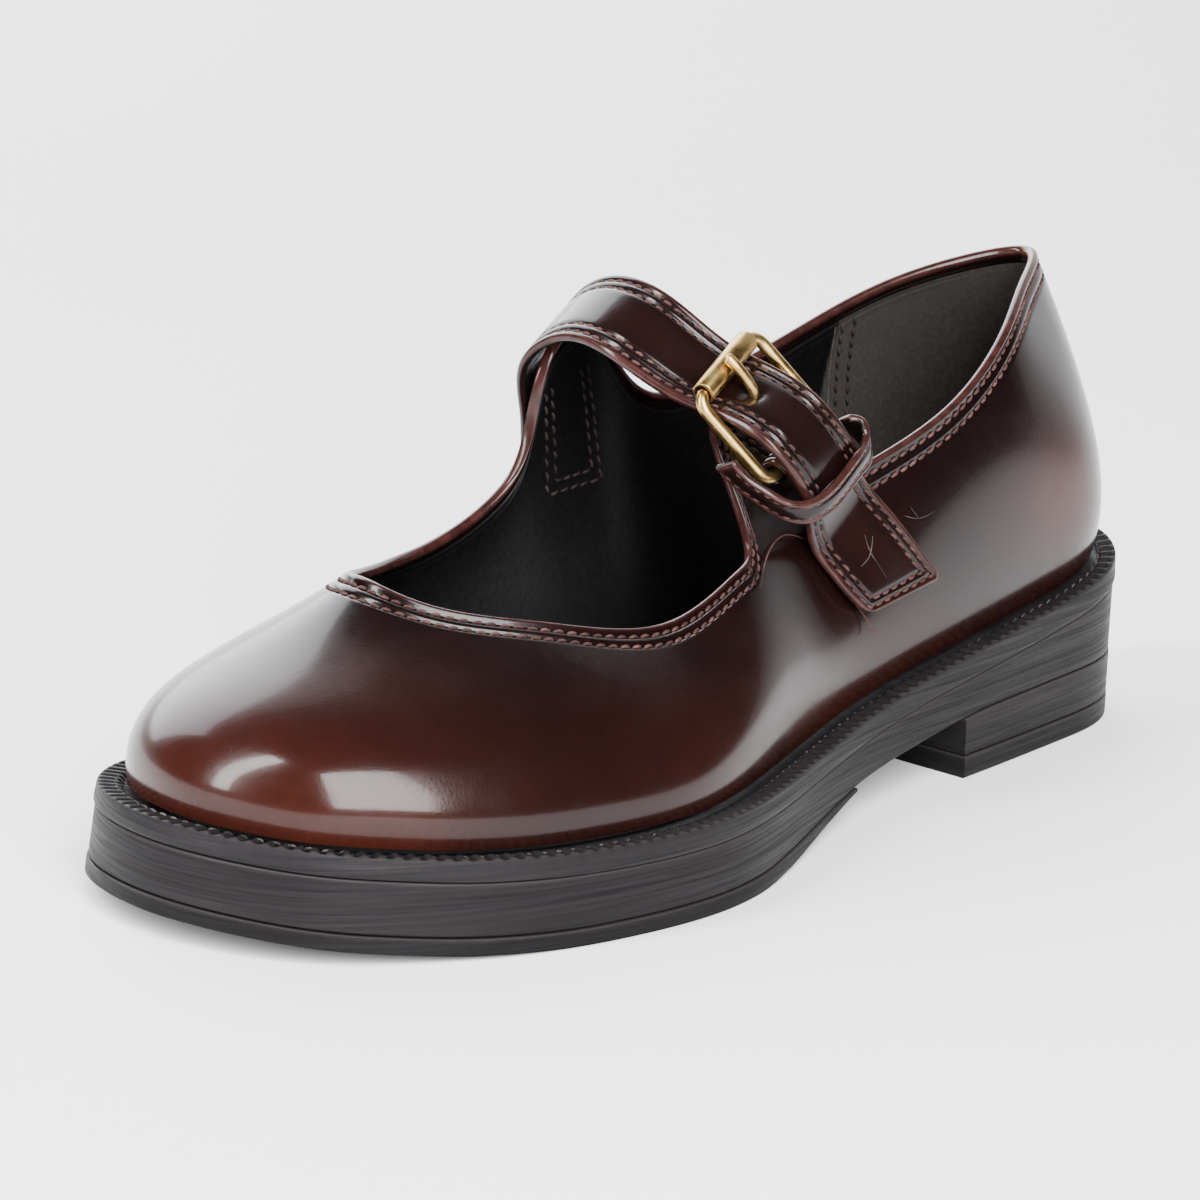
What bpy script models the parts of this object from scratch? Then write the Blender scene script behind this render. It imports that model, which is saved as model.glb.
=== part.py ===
"""A left strap shoe: a hollow leather upper on a welted, stacked sole with a low block heel.

The tables are in millimetres and in the shoe's own directions: "along" runs from the back of the heel to
the toe, "across" is positive towards the inner side of the foot, and "up" starts at the floor. In the scene
the toe points to -X, the outer side with the buckle faces -Y, and +Z is up.
"""

import math

import bmesh
import bpy
import numpy as np

COLLECTION = "strap_shoe"
CUTTERS = "strap_shoe_cutters"
MM = 0.001

# Driving sizes
LENGTH = 264.0
GAP = 0.3
WALL = 2.0
HEEL_BREAST = 71.5
TOP_LIFT = 4.6
INSOLE_RISE = 1.8
STRAP_WIDTH = 20.0
STRAP_THICKNESS = 1.8
CHAPE_THICKNESS = 1.6
KEEPER_WIDTH = 5.4
KEEPER_THICKNESS = 1.6
BUCKLE_HALF_WIDTH = 12.2
BUCKLE_LENGTH = 21.5
BUCKLE_CORNER = 3.2
BUCKLE_WIRE = 2.6
BUCKLE_BEND_STEP = 15
ROLLER_LENGTH = 19.0
ROLLER_BORE = 3.3
ROLLER_DIAMETER = 4.7
PRONG_WIRE = 2.2
HOLE_DIAMETER = 3.4
HOLE_DEPTH = 9.0
WELT_UNDER_WALL = 0.9
WAIST_TAPER = 12.0
CHAPE_SIDE_ROOM = 1.6

# Counts of faces
SOLE_STATIONS = 34
UPPER_STEPS_PER_ROW = 4
UPPER_RINGS = 14
FINE_STEPS = 12
FINE_RINGS = 60
WELT_COLUMNS = 120
ROUND_STEPS = 32
BAND_STEPS = 5
BAND_COLUMNS = 4

# Colours
EDGE_COLOUR = (0.05, 0.032, 0.026)
TREAD_COLOUR = (0.012, 0.011, 0.011)
INSOLE_COLOUR = (0.1, 0.07, 0.05)
UPPER_COLOUR = (0.03, 0.01, 0.01)
STRAP_COLOUR = (0.025, 0.01, 0.01)
BRASS_COLOUR = (0.62, 0.42, 0.16)

# How far a row may run sideways before it turns from square across the seat towards its own edge.
HEADING_SPAN = 25.0

# The sole's outline: how far it reaches to the outer and the inner side of the centre line.
SOLE_OUTLINE = (
    # along, outer, inner
    (12, 21.5, 22.0),
    (35, 28.3, 30.8),
    (70, 32.4, 30.6),
    (105, 37.0, 27.2),
    (140, 48.7, 33.0),
    (170, 58.0, 41.0),
    (195, 57.3, 46.0),
    (220, 51.0, 46.0),
    (240, 40.8, 40.4),
    (254, 29.5, 29.3),
    (261, 16.5, 16.5),
)
HEEL_TIP_ACROSS = -0.5
TOE_TIP_ACROSS = 0.5

# Heights along the shoe: the welt's top, the underside of the sole, and how thick the layers are.
SOLE_HEIGHTS = (
    # along, welt top, underside, outsole, welt, flare of the edge, inset of the upper's seat
    (0, 37.0, 14.3, 0.0, 5.6, -0.6, 5.0),
    (30, 31.6, 14.2, 0.0, 5.5, -0.6, 5.2),
    (62, 27.4, 13.6, 0.0, 5.3, -0.2, 5.8),
    (85, 24.3, 11.2, 0.0, 5.0, 0.2, 6.3),
    (105, 21.2, 8.3, 0.3, 4.8, 0.5, 6.6),
    (125, 18.9, 4.2, 1.6, 4.5, 0.8, 6.6),
    (145, 18.0, 1.0, 2.9, 4.3, 1.1, 6.6),
    (160, 17.8, 0.0, 3.2, 4.2, 1.3, 6.6),
    (185, 17.6, 0.0, 3.2, 4.2, 1.5, 6.6),
    (205, 17.8, 0.0, 3.2, 4.2, 1.8, 6.6),
    (225, 18.6, 0.6, 3.2, 4.2, 2.1, 6.7),
    (245, 20.5, 2.4, 3.2, 4.2, 2.4, 6.9),
    (264, 22.8, 5.0, 3.2, 4.2, 2.6, 7.0),
)
OUTSOLE_BACK = 112.0

# The upper follows the last, with one row for each place round the shoe. The seat is where the leather stands
# on the welt, and the crest is a smooth line over the last. Lean is in degrees outwards from upright at the
# seat, fall is in degrees below level at the crest, and rise and reach say how long the leather keeps each of
# those two directions. Cut is the share of the way from seat to crest at which the opening's edge lies.
OUTER = -1
INNER = 1
UPPER_ROWS = (
    # place, seat along, side, crest along, crest across, crest up, lean, rise, fall, reach, cut
    ("back seam", 0, OUTER, 16.0, 3.0, 98.0, 12, 22, 62, 24, 1.0),
    ("outer counter", 14, OUTER, 30.0, -8.5, 95.0, 18, 22, 68, 21, 1.0),
    ("outer counter end", 40, OUTER, 48.0, -16.5, 91.0, 17, 21, 64, 19, 0.94),
    ("outer quarter", 64, OUTER, 70.0, -18.5, 85.5, 12, 20, 60, 19, 0.83),
    ("outer quarter dip", 86, OUTER, 92.0, -13.0, 81.0, 9, 20, 53, 20, 0.75),
    ("outer notch", 103, OUTER, 107.5, -6.5, 77.0, 8, 20, 49, 21, 0.82),
    ("outer wing top", 116, OUTER, 119.0, -3.0, 76.8, 11, 20, 43, 22, 1.0),
    ("outer wing front", 131, OUTER, 127.0, -7.5, 70.0, 14, 19, 37, 23, 0.76),
    ("outer wing foot", 148, OUTER, 132.0, -11.5, 63.5, 15, 18, 31, 22, 0.74),
    ("outer ball", 170, OUTER, 155.0, -13.0, 57.5, 14, 17, 30, 21, 0.72),
    ("outer throat", 198, OUTER, 181.0, -11.0, 56.5, 13, 18, 29, 22, 0.83),
    ("outer toe", 232, OUTER, 199.5, -5.5, 56.0, 12, 20, 32, 25, 0.96),
    ("throat", 264, INNER, 206.0, 4.5, 58.0, 9, 23, 35, 28, 1.0),
    ("inner toe", 232, INNER, 200.0, 14.5, 57.0, 8, 20, 38, 24, 0.98),
    ("inner throat", 202, INNER, 179.0, 21.5, 57.5, 11, 16, 41, 19, 0.86),
    ("inner ball", 172, INNER, 156.0, 27.0, 62.0, 13, 15, 46, 17, 0.76),
    ("inner wing foot", 152, INNER, 142.0, 29.0, 68.5, 13, 17, 58, 18, 0.80),
    ("inner wing front", 139, INNER, 137.0, 29.8, 77.0, 12, 18, 68, 20, 0.84),
    ("inner wing front top", 130, INNER, 133.8, 30.6, 84.5, 10, 20, 71, 22, 1.0),
    ("inner wing rear top", 117, INNER, 118.0, 31.2, 91.0, 9, 20, 70, 22, 1.0),
    ("inner notch", 107, INNER, 108.5, 28.8, 84.5, 8, 20, 77, 18, 0.88),
    ("inner quarter dip", 88, INNER, 92.0, 28.0, 84.0, 8, 20, 76, 18, 0.82),
    ("inner quarter", 64, INNER, 66.5, 26.5, 85.5, 10, 20, 73, 18, 0.91),
    ("inner counter end", 40, INNER, 45.5, 22.5, 90.0, 12, 20, 66, 19, 0.98),
    ("inner counter", 14, INNER, 26.5, 14.5, 95.0, 12, 22, 60, 21, 1.0),
)

# The strap's outer face, from its sewn end on the inner wing over the instep to its tip in the keeper. Swing
# and lift are the degrees by which its width, from front edge to rear edge, turns inwards and rises.
STRAP_ROWS = (
    # place, along, across, up, swing, lift
    ("sewn end", 123.4, 34.0, 54.5, -8, 4),
    ("inner wing", 123.6, 35.2, 64.0, -5, 5),
    ("inner wing top", 124.8, 35.9, 75.0, 2, 11),
    ("inner shoulder", 128.3, 35.3, 87.2, 12, 20),
    ("instep", 129.4, 25.3, 96.3, 12, 28),
    ("outer shoulder", 129.6, 7.1, 95.8, 4, 31),
    ("roller", 124.7, -6.6, 88.1, 11, 25),
    ("below the roller", 122.4, -16.1, 85.6, 14, 21),
    ("lower bar", 120.6, -26.2, 81.3, 14, 21),
    ("keeper", 113.7, -29.6, 71.4, 11, 21),
    ("tip", 110.7, -29.5, 66.8, 9, 20),
)

# The buckle's frame: the middle of its upper bar, the way along it to the rear, and the way down its sides.
ROLLER_CENTRE = (124.6, -10.9, 89.9)
BAR_WAY = (-0.89, 0.22, 0.40)
SIDE_WAY = (-0.43, -0.50, -0.75)

# The prong in the buckle's own directions: out from the roller's centre and down the side bars. It goes from
# its tip on the roller through the strap, and ends short of the fold round the lower bar.
PRONG_PATH = (
    # out, down
    (3.5, -2.3),
    (3.8, 0.0),
    (3.85, 2.3),
    (3.6, 4.7),
    (2.9, 6.9),
    (1.7, 8.4),
    (0.2, 9.8),
    (-1.5, 11.3),
    (-3.1, 13.0),
    (-4.2, 15.2),
)
HOLE_AT_POINT = 5
PRONG_ASIDE = -1.5

# The chape's sewn part, as places on the outer quarter with how far its face stands off the leather.
CHAPE_ROWS = (
    # along, across, up, swing, lift, stand off, width
    (90.2, -31.0, 40.9, 0, 10, 2.2, 23.2),
    (95.2, -30.0, 46.0, 1, 14, 2.2, 22.8),
    (100.0, -28.0, 52.7, 3, 26, 2.4, 21.5),
    (103.8, -25.5, 58.7, 5, 28, 3.2, 21.0),
)

# The chape on its way to the fold: below the lower bar, and how much closer to the foot than the fold's face.
CHAPE_LEAD = (
    # down, drop
    (6.0, 0.6),
    (2.6, 0.0),
)
CHAPE_TURN_UNDER = 3.0

# The keeper in the strap's own directions: sideways to the rear, out from its face and down along it.
# The last two columns give the way from the band's upper edge to its lower edge.
KEEPER_PATH = (
    # sideways, out, down, edge out, edge down
    (-18.0, -11.2, -13.0, -0.95, 0.30),
    (-17.5, -8.8, -9.0, -0.95, 0.30),
    (-16.7, -5.5, -5.7, -0.90, 0.40),
    (-15.4, -2.8, -2.5, -0.75, 0.65),
    (-13.1, 0.3, -0.1, -0.30, 0.95),
    (-8.6, 2.2, 0.7, -0.15, 1.00),
    (-1.0, 2.4, 0.6, -0.10, 1.00),
    (6.0, 2.1, -0.1, -0.10, 1.00),
    (12.3, 0.3, -0.9, -0.15, 0.98),
    (13.1, -0.9, -3.1, -0.55, 0.85),
    (12.9, -2.7, -4.6, -0.80, 0.60),
    (11.7, -4.2, -5.6, -0.95, 0.40),
)
KEEPER_AT_ROW = 10.51


def spline(knots, values, at, closed=False):
    """A smooth cubic curve through the values. A closed one runs on from its last knot to its first."""
    knots = np.asarray(knots, float)
    values = np.asarray(values, float)
    steps = np.diff(knots)
    rows = len(knots) - 1 if closed else len(knots)
    matrix = np.zeros((rows, rows))
    right = np.zeros((rows,) + values.shape[1:])
    slopes = np.diff(values, axis=0) / steps.reshape((-1,) + (1,) * (values.ndim - 1))
    inside = range(rows) if closed else range(1, rows - 1)
    for row in inside:
        before = steps[row - 1]
        after = steps[row]
        matrix[row, (row - 1) % rows] += before
        matrix[row, row] += 2 * (before + after)
        matrix[row, (row + 1) % rows] += after
        right[row] = 6 * (slopes[row] - slopes[row - 1])
    if not closed:
        matrix[0, 0] = 1
        matrix[-1, -1] = 1
    bends = np.linalg.solve(matrix, right)
    if closed:
        bends = np.concatenate([bends, bends[:1]])
    at = np.asarray(at, float)
    span = np.clip(np.searchsorted(knots, at, side="right") - 1, 0, len(steps) - 1)
    shape = at.shape + (1,) * (values.ndim - 1)
    width = steps[span].reshape(shape)
    near = (at - knots[span]).reshape(shape) / width
    far = 1 - near
    curve = far * values[span] + near * values[span + 1]
    bend = (far**3 - far) * bends[span] + (near**3 - near) * bends[span + 1]
    return curve + bend * width**2 / 6


def unit(vectors):
    """The vectors at length one."""
    return vectors / np.linalg.norm(vectors, axis=-1, keepdims=True)


def height_column(column, along):
    """A column of the table of sole heights, anywhere along the shoe, without overshoot between its rows."""
    table = np.array(SOLE_HEIGHTS, float)
    knots = table[:, 0]
    values = table[:, column]
    slopes = np.diff(values) / np.diff(knots)
    tangents = np.zeros(len(knots))
    same_way = slopes[:-1] * slopes[1:] > 0
    tangents[1:-1][same_way] = (2 * slopes[:-1] * slopes[1:])[same_way] / (slopes[:-1] + slopes[1:])[same_way]
    tangents[0] = slopes[0]
    tangents[-1] = slopes[-1]
    along = np.clip(along, knots[0], knots[-1])
    span = np.clip(np.searchsorted(knots, along, side="right") - 1, 0, len(slopes) - 1)
    width = knots[span + 1] - knots[span]
    near = (along - knots[span]) / width
    far = 1 - near
    return (
        (1 + 2 * near) * far**2 * values[span]
        + near * far**2 * width * tangents[span]
        + near**2 * (3 - 2 * near) * values[span + 1]
        - near**2 * far * width * tangents[span + 1]
    )


def welt_top(along):
    return height_column(1, along)


def underside(along):
    return height_column(2, along)


def outsole_thickness(along):
    return height_column(3, along)


def welt_thickness(along):
    return height_column(4, along)


def flare(along):
    return height_column(5, along)


def seat_inset(along):
    return height_column(6, along)


def outline_loop(count=720):
    """Points round the sole's outline and the outward directions there, from the heel by the outer side."""
    heel_tip = [(0, HEEL_TIP_ACROSS)]
    toe_tip = [(LENGTH, TOE_TIP_ACROSS)]
    outer = [(along, -reach) for along, reach, _ in SOLE_OUTLINE]
    inner = [(along, reach) for along, _, reach in reversed(SOLE_OUTLINE)]
    points = np.array(heel_tip + outer + toe_tip + inner + heel_tip, float)
    chords = np.linalg.norm(np.diff(points, axis=0), axis=1)
    knots = np.concatenate([[0], np.cumsum(chords)])
    places = np.linspace(0, knots[-1], count + 1)
    loop = spline(knots, points, places, closed=True)
    ahead = unit(np.roll(loop[:-1], -1, axis=0) - np.roll(loop[:-1], 1, axis=0))
    outward = np.stack([ahead[:, 1], -ahead[:, 0]], axis=1)
    return loop[:-1], outward


LOOP, LOOP_OUTWARD = outline_loop()


def inset_loop(inset):
    """The outline moved inwards by a distance, or by one distance for each of its points."""
    return LOOP - LOOP_OUTWARD * np.reshape(inset, (-1, 1))


def edge_loop(height, inset=0.0):
    """The sole's edge at a height, given as a function of along, with its flare and a further inset."""
    along = LOOP[:, 0]
    share = height(along) / welt_top(along)
    return inset_loop(flare(along) * (share - 0.5) + inset)


def world(points):
    """Shoe millimetres to scene metres: the origin is on the floor, in the middle of the sole's box."""
    points = np.asarray(points, float)
    edges = np.concatenate([edge_loop(underside), edge_loop(welt_top)])
    along, across = (edges.max(axis=0) + edges.min(axis=0)) / 2
    moved = np.stack([along - points[..., 0], points[..., 1] - across, points[..., 2]], axis=-1)
    return moved * MM


def stations(loop, first, last, count=SOLE_STATIONS):
    """Matching outer and inner points of a loop, at stations that crowd together towards both ends.

    A first station of 0 means the loop's own heel end, and a last one of LENGTH its own toe end.
    """
    front = int(np.argmax(loop[:, 0]))
    back = int(np.argmin(loop[:, 0]))
    rolled = np.roll(loop, -back, axis=0)
    turn = (front - back) % len(loop)
    outer = rolled[: turn + 1]
    inner = np.concatenate([rolled[:1], rolled[: turn - 1 : -1]])
    if first == 0:
        first = loop[back, 0]
    if last == LENGTH:
        last = loop[front, 0]
    share = (1 - np.cos(np.linspace(0, math.pi, count + 1))) / 2
    along = first + (last - first) * share
    return along, np.interp(along, outer[:, 0], outer[:, 1]), np.interp(along, inner[:, 0], inner[:, 1])


def seat_places():
    """Where each row of the upper stands, as an index round the outline's loop that grows from row to row."""
    toe = int(np.argmax(LOOP[:, 0]))
    places = []
    for _, along, side, *_ in UPPER_ROWS:
        if side == OUTER:
            places.append(int(np.argmin(np.abs(LOOP[: toe + 1, 0] - along))))
        else:
            places.append(toe + int(np.argmin(np.abs(LOOP[toe:, 0] - along))))
    return np.array(places, float)


def upper_knots():
    """How far round the upper's crest each row lies, with the first row again at the end."""
    crest = np.array([row[3:6] for row in UPPER_ROWS], float)
    chords = np.linalg.norm(np.roll(crest, -1, axis=0) - crest, axis=1)
    return np.concatenate([[0], np.cumsum(np.sqrt(chords))])


def upper_surface(round_places, rings):
    """The upper's outer face at places round it: a grid of points from the seat to the opening's edge."""
    knots = upper_knots()
    rows = np.array([row[3:] for row in UPPER_ROWS], float)
    rows = np.concatenate([rows, rows[:1]])
    shapes = spline(knots, rows, round_places, closed=True)
    count = len(LOOP)
    drift = np.concatenate([seat_places(), [count]]) - count * knots / knots[-1]
    index = spline(knots, drift, round_places, closed=True) + count * round_places / knots[-1]
    corners = np.arange(-5, count + 6)
    outline = np.stack([np.interp(index, corners, LOOP[corners % count, axis]) for axis in (0, 1)], axis=1)
    outward = unit(
        np.stack([np.interp(index, corners, LOOP_OUTWARD[corners % count, axis]) for axis in (0, 1)], axis=1)
    )
    seat_xy = outline - outward * seat_inset(outline[:, 0])[:, None]
    seat = np.column_stack([seat_xy, welt_top(seat_xy[:, 0]) + GAP])
    crest = shapes[:, :3]
    lean = np.radians(shapes[:, 3])
    rise = shapes[:, 4]
    fall = np.radians(shapes[:, 5])
    reach = shapes[:, 6]
    leaning = np.column_stack([outward * np.sin(lean)[:, None], np.cos(lean)])
    heading = unit(outward + (seat_xy - crest[:, :2]) / HEADING_SPAN)
    falling = np.column_stack([heading * np.cos(fall)[:, None], -np.sin(fall)])
    handles = (seat, seat + leaning * rise[:, None], crest + falling * reach[:, None], crest)
    up = np.linspace(0, 1, rings + 1) * shapes[:, 7][:, None]
    weights = ((1 - up) ** 3, 3 * up * (1 - up) ** 2, 3 * up**2 * (1 - up), up**3)
    return sum(weight[:, :, None] * handle[:, None, :] for weight, handle in zip(weights, handles))


def upper_columns(steps):
    """Places round the crest, with a number of steps between each two rows of the table."""
    knots = upper_knots()
    return np.concatenate([np.linspace(a, b, steps, endpoint=False) for a, b in zip(knots[:-1], knots[1:])])


def add_object(name, mesh, colour, roughness, metallic=0.0):
    """Puts a mesh in the scene as a named object with a material of its own."""
    material = bpy.data.materials.new(name)
    material.use_nodes = True
    shader = material.node_tree.nodes["Principled BSDF"]
    shader.inputs["Base Color"].default_value = (*colour, 1)
    shader.inputs["Roughness"].default_value = roughness
    shader.inputs["Metallic"].default_value = metallic
    mesh.materials.append(material)
    made = bpy.data.objects.new(name, mesh)
    bpy.data.collections[COLLECTION].objects.link(made)
    return made


def closed_mesh(name, points, faces):
    """A closed mesh from shoe millimetres, with doubled points merged and every face turned outwards."""
    mesh = bpy.data.meshes.new(name)
    mesh.from_pydata(world(points).tolist(), [], faces)
    work = bmesh.new()
    work.from_mesh(mesh)
    bmesh.ops.remove_doubles(work, verts=work.verts, dist=0.01 * MM)
    bmesh.ops.recalc_face_normals(work, faces=work.faces)
    work.to_mesh(mesh)
    work.free()
    return mesh


def grid_faces(rows, columns, rows_closed=False, columns_closed=False):
    """The four-sided faces between points numbered row by row."""
    faces = []
    for row in range(rows if rows_closed else rows - 1):
        below = row * columns
        above = (row + 1) % rows * columns
        for column in range(columns if columns_closed else columns - 1):
            beside = (column + 1) % columns
            faces.append((below + column, below + beside, above + beside, above + column))
    return faces


def shell(name, points, thickness, colour, roughness, offset=-1.0, rows_closed=False):
    """A sheet of points made into a solid wall. Offset -1 keeps the sheet as the outer face."""
    rows, columns = points.shape[:2]
    faces = grid_faces(rows, columns, rows_closed)
    mesh = bpy.data.meshes.new(name)
    mesh.from_pydata(world(points.reshape(-1, 3)).tolist(), [], faces)
    made = add_object(name, mesh, colour, roughness)
    wall = made.modifiers.new("wall", "SOLIDIFY")
    wall.thickness = thickness * MM
    wall.offset = offset
    wall.use_even_offset = True
    wall.use_rim = True
    return made


def sole_layer(name, first, last, low, high, colour, roughness, inset=0.0):
    """A layer of the sole between two stations, with its faces at the heights low and high."""
    corners = []
    for height in (low, high):
        along, outer, inner = stations(edge_loop(height, inset), first, last)
        up = height(along)
        corners.append(np.stack([along, outer, up], axis=1))
        corners.append(np.stack([along, inner, up], axis=1))
    outer_low, inner_low, outer_high, inner_high = corners
    points = np.stack([outer_low, inner_low, inner_high, outer_high], axis=1)
    faces = grid_faces(len(points), 4, columns_closed=True)
    for row in (0, len(points) - 1):
        if np.linalg.norm(points[row, 0] - points[row, 1]) > 0.01:
            faces.append(tuple(range(row * 4, row * 4 + 4)))
    mesh = closed_mesh(name, points.reshape(-1, 3), faces)
    return add_object(name, mesh, colour, roughness)


def welt_inner_inset():
    """How far the welt's inner edge lies from the outline, just inside the upper's wall."""
    return seat_inset(LOOP[:, 0]) + WALL + WELT_UNDER_WALL


def make_sole():
    """The layers from the floor up to the insole, and the welt."""

    def outsole_top(along):
        return underside(along) + outsole_thickness(along)

    def midsole_bottom(along):
        return outsole_top(along) + GAP * np.clip((along - OUTSOLE_BACK) / WAIST_TAPER + 1, 0, 1)

    def welt_bottom(along):
        return welt_top(along) - welt_thickness(along)

    def midsole_top(along):
        return welt_bottom(along) - GAP

    sole_layer("outsole", OUTSOLE_BACK, LENGTH, underside, outsole_top, TREAD_COLOUR, 0.6)
    sole_layer("midsole", 0, LENGTH, midsole_bottom, midsole_top, EDGE_COLOUR, 0.45)
    sole_layer(
        "heel_block",
        0,
        HEEL_BREAST,
        lambda along: np.full_like(along, TOP_LIFT + GAP),
        lambda along: underside(along) - GAP,
        EDGE_COLOUR,
        0.45,
    )
    sole_layer(
        "heel_top_lift",
        0,
        HEEL_BREAST,
        lambda along: np.zeros_like(along),
        lambda along: np.full_like(along, TOP_LIFT),
        (0.012, 0.011, 0.011),
        0.6,
    )
    sole_layer(
        "insole",
        0,
        LENGTH,
        lambda along: midsole_top(along) + GAP,
        lambda along: welt_top(along) + INSOLE_RISE,
        INSOLE_COLOUR,
        0.8,
        welt_inner_inset() + 2 * GAP,
    )
    corners = []
    for height in (welt_bottom, welt_top):
        for inset in (0.0, welt_inner_inset()):
            loop = edge_loop(height, inset)
            corners.append(np.column_stack([loop, height(loop[:, 0])]))
    outer_low, inner_low, outer_high, inner_high = corners
    step = len(LOOP) // WELT_COLUMNS
    points = np.stack([outer_low, outer_high, inner_high, inner_low], axis=1)[::step]
    faces = grid_faces(len(points), 4, rows_closed=True, columns_closed=True)
    add_object("welt", closed_mesh("welt", points.reshape(-1, 3), faces), EDGE_COLOUR, 0.4)


def make_upper():
    points = upper_surface(upper_columns(UPPER_STEPS_PER_ROW), UPPER_RINGS)
    shell("upper", points, WALL, UPPER_COLOUR, 0.25, rows_closed=True)


def width_way(swing, lift):
    """The direction from a band's front edge to its rear edge."""
    swing = np.radians(swing)
    lift = np.radians(lift)
    return np.stack([-np.cos(lift) * np.cos(swing), np.cos(lift) * np.sin(swing), np.sin(lift)], axis=-1)


def band_points(centres, ways, widths, steps=BAND_STEPS):
    """A grid of points on a band, smooth along it and straight across it from front edge to rear edge."""
    chords = np.linalg.norm(np.diff(centres, axis=0), axis=1)
    knots = np.concatenate([[0], np.cumsum(chords)])
    places = np.concatenate([np.linspace(a, b, steps, endpoint=False) for a, b in zip(knots[:-1], knots[1:])])
    places = np.append(places, knots[-1])
    middle = spline(knots, centres, places)
    way = unit(spline(knots, ways, places))
    width = np.interp(places, knots, widths)
    aside = np.linspace(-0.5, 0.5, BAND_COLUMNS + 1)
    return middle[:, None, :] + aside[None, :, None] * (way * width[:, None])[:, None, :]


def strap_band():
    rows = np.array([row[1:] for row in STRAP_ROWS], float)
    ways = width_way(rows[:, 3], rows[:, 4])
    return band_points(rows[:, :3], ways, np.full(len(rows), STRAP_WIDTH))


def prong_points():
    """The middle line of the prong."""
    bar, side, out = buckle_axes()
    start = np.array(ROLLER_CENTRE) + bar * PRONG_ASIDE
    return np.array([start + out * outwards + side * down for outwards, down in PRONG_PATH])


def ring_points(centre, first, second, diameter):
    """Points on a circle in the plane of two directions."""
    turns = np.linspace(0, 2 * math.pi, ROUND_STEPS, endpoint=False)[:, None]
    return centre + (first * np.cos(turns) + second * np.sin(turns)) * diameter / 2


def make_strap():
    """The strap, with a hole that the prong passes through."""
    strap = shell("strap", strap_band()[:, ::-1], STRAP_THICKNESS, STRAP_COLOUR, 0.25)
    centre, after = prong_points()[HOLE_AT_POINT : HOLE_AT_POINT + 2]
    way = unit(after - centre)
    aside = unit(np.cross(way, buckle_axes()[2]))
    beyond = np.cross(way, aside)
    reach = way * HOLE_DEPTH / 2
    ends = [ring_points(end, aside, beyond, HOLE_DIAMETER) for end in (centre - reach, centre + reach)]
    points = np.concatenate(ends)
    faces = grid_faces(2, ROUND_STEPS, columns_closed=True)
    faces += [tuple(range(ROUND_STEPS)), tuple(range(ROUND_STEPS, 2 * ROUND_STEPS))]
    cutter = bpy.data.objects.new("hole_cutter", closed_mesh("hole_cutter", points, faces))
    bpy.data.collections[CUTTERS].objects.link(cutter)
    cutter.hide_render = True
    cutter.display_type = "WIRE"
    hole = strap.modifiers.new("hole", "BOOLEAN")
    hole.operation = "DIFFERENCE"
    hole.solver = "EXACT"
    hole.object = cutter


def leather_face():
    """Fine points on the upper's outer face, with the way out from the leather at each."""
    face = upper_surface(upper_columns(FINE_STEPS), FINE_RINGS)
    round_way = np.roll(face, -1, axis=0) - np.roll(face, 1, axis=0)
    out = unit(np.cross(round_way, np.gradient(face, axis=1)))
    return face.reshape(-1, 3), out.reshape(-1, 3)


def buckle_axes():
    """The buckle's own directions: along its bars, down its sides and out from the foot."""
    bar = unit(np.array(BAR_WAY))
    side = np.array(SIDE_WAY)
    side = unit(side - bar * np.dot(side, bar))
    out = np.cross(bar, side)
    return bar, side, out if out[1] < 0 else -out


def make_chape():
    """A tab laid on the quarter that goes up to the buckle's lower bar, round it, and back under itself."""
    face, out_of_face = leather_face()
    rows = np.array(CHAPE_ROWS, float)
    ways = width_way(rows[:, 3], rows[:, 4])
    centres = []
    for row in rows:
        nearest = int(np.argmin(np.linalg.norm(face - row[:3], axis=1)))
        centres.append(face[nearest] + out_of_face[nearest] * row[5])
    bar, side, out = buckle_axes()
    lower_bar = np.array(ROLLER_CENTRE) + side * BUCKLE_LENGTH
    radius = BUCKLE_WIRE / 2 + GAP + CHAPE_THICKNESS / 2
    fold = [(down, radius - drop) for down, drop in CHAPE_LEAD]
    for degrees in range(0, 181, 30):
        turn = math.radians(degrees)
        fold.append((-radius * math.sin(turn), radius * math.cos(turn)))
    fold.append((CHAPE_TURN_UNDER, -radius))
    centres = np.array(centres + [lower_bar + side * down + out * outwards for down, outwards in fold])
    ways = np.concatenate([ways, np.repeat([bar], len(fold), axis=0)])
    fold_width = 2 * BUCKLE_HALF_WIDTH - BUCKLE_WIRE - 2 * CHAPE_SIDE_ROOM
    widths = np.concatenate([rows[:, 6], np.full(len(fold), fold_width)])
    points = band_points(centres, ways, widths, 3)
    shell("chape", points, CHAPE_THICKNESS, STRAP_COLOUR, 0.25, offset=0.0)


def make_keeper():
    """A loop of leather over the strap, with its two ends at the sides of the chape."""
    rows = np.array([row[1:] for row in STRAP_ROWS], float)
    before = int(KEEPER_AT_ROW) - 1
    share = KEEPER_AT_ROW - 1 - before
    here = rows[before] * (1 - share) + rows[before + 1] * share
    aside = width_way(here[3], here[4])
    down = rows[before + 1, :3] - rows[before, :3]
    down = unit(down - aside * np.dot(down, aside))
    out = np.cross(aside, down)
    out = out if out[1] < 0 else -out
    path = np.array(KEEPER_PATH)
    centres = here[:3] + path[:, :1] * aside + path[:, 1:2] * out + path[:, 2:3] * down
    ways = path[:, 3:4] * out + path[:, 4:5] * down
    points = band_points(centres, ways, np.full(len(path), KEEPER_WIDTH), 3)
    shell("keeper_loop", points, KEEPER_THICKNESS, STRAP_COLOUR, 0.25, offset=0.0)


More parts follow.
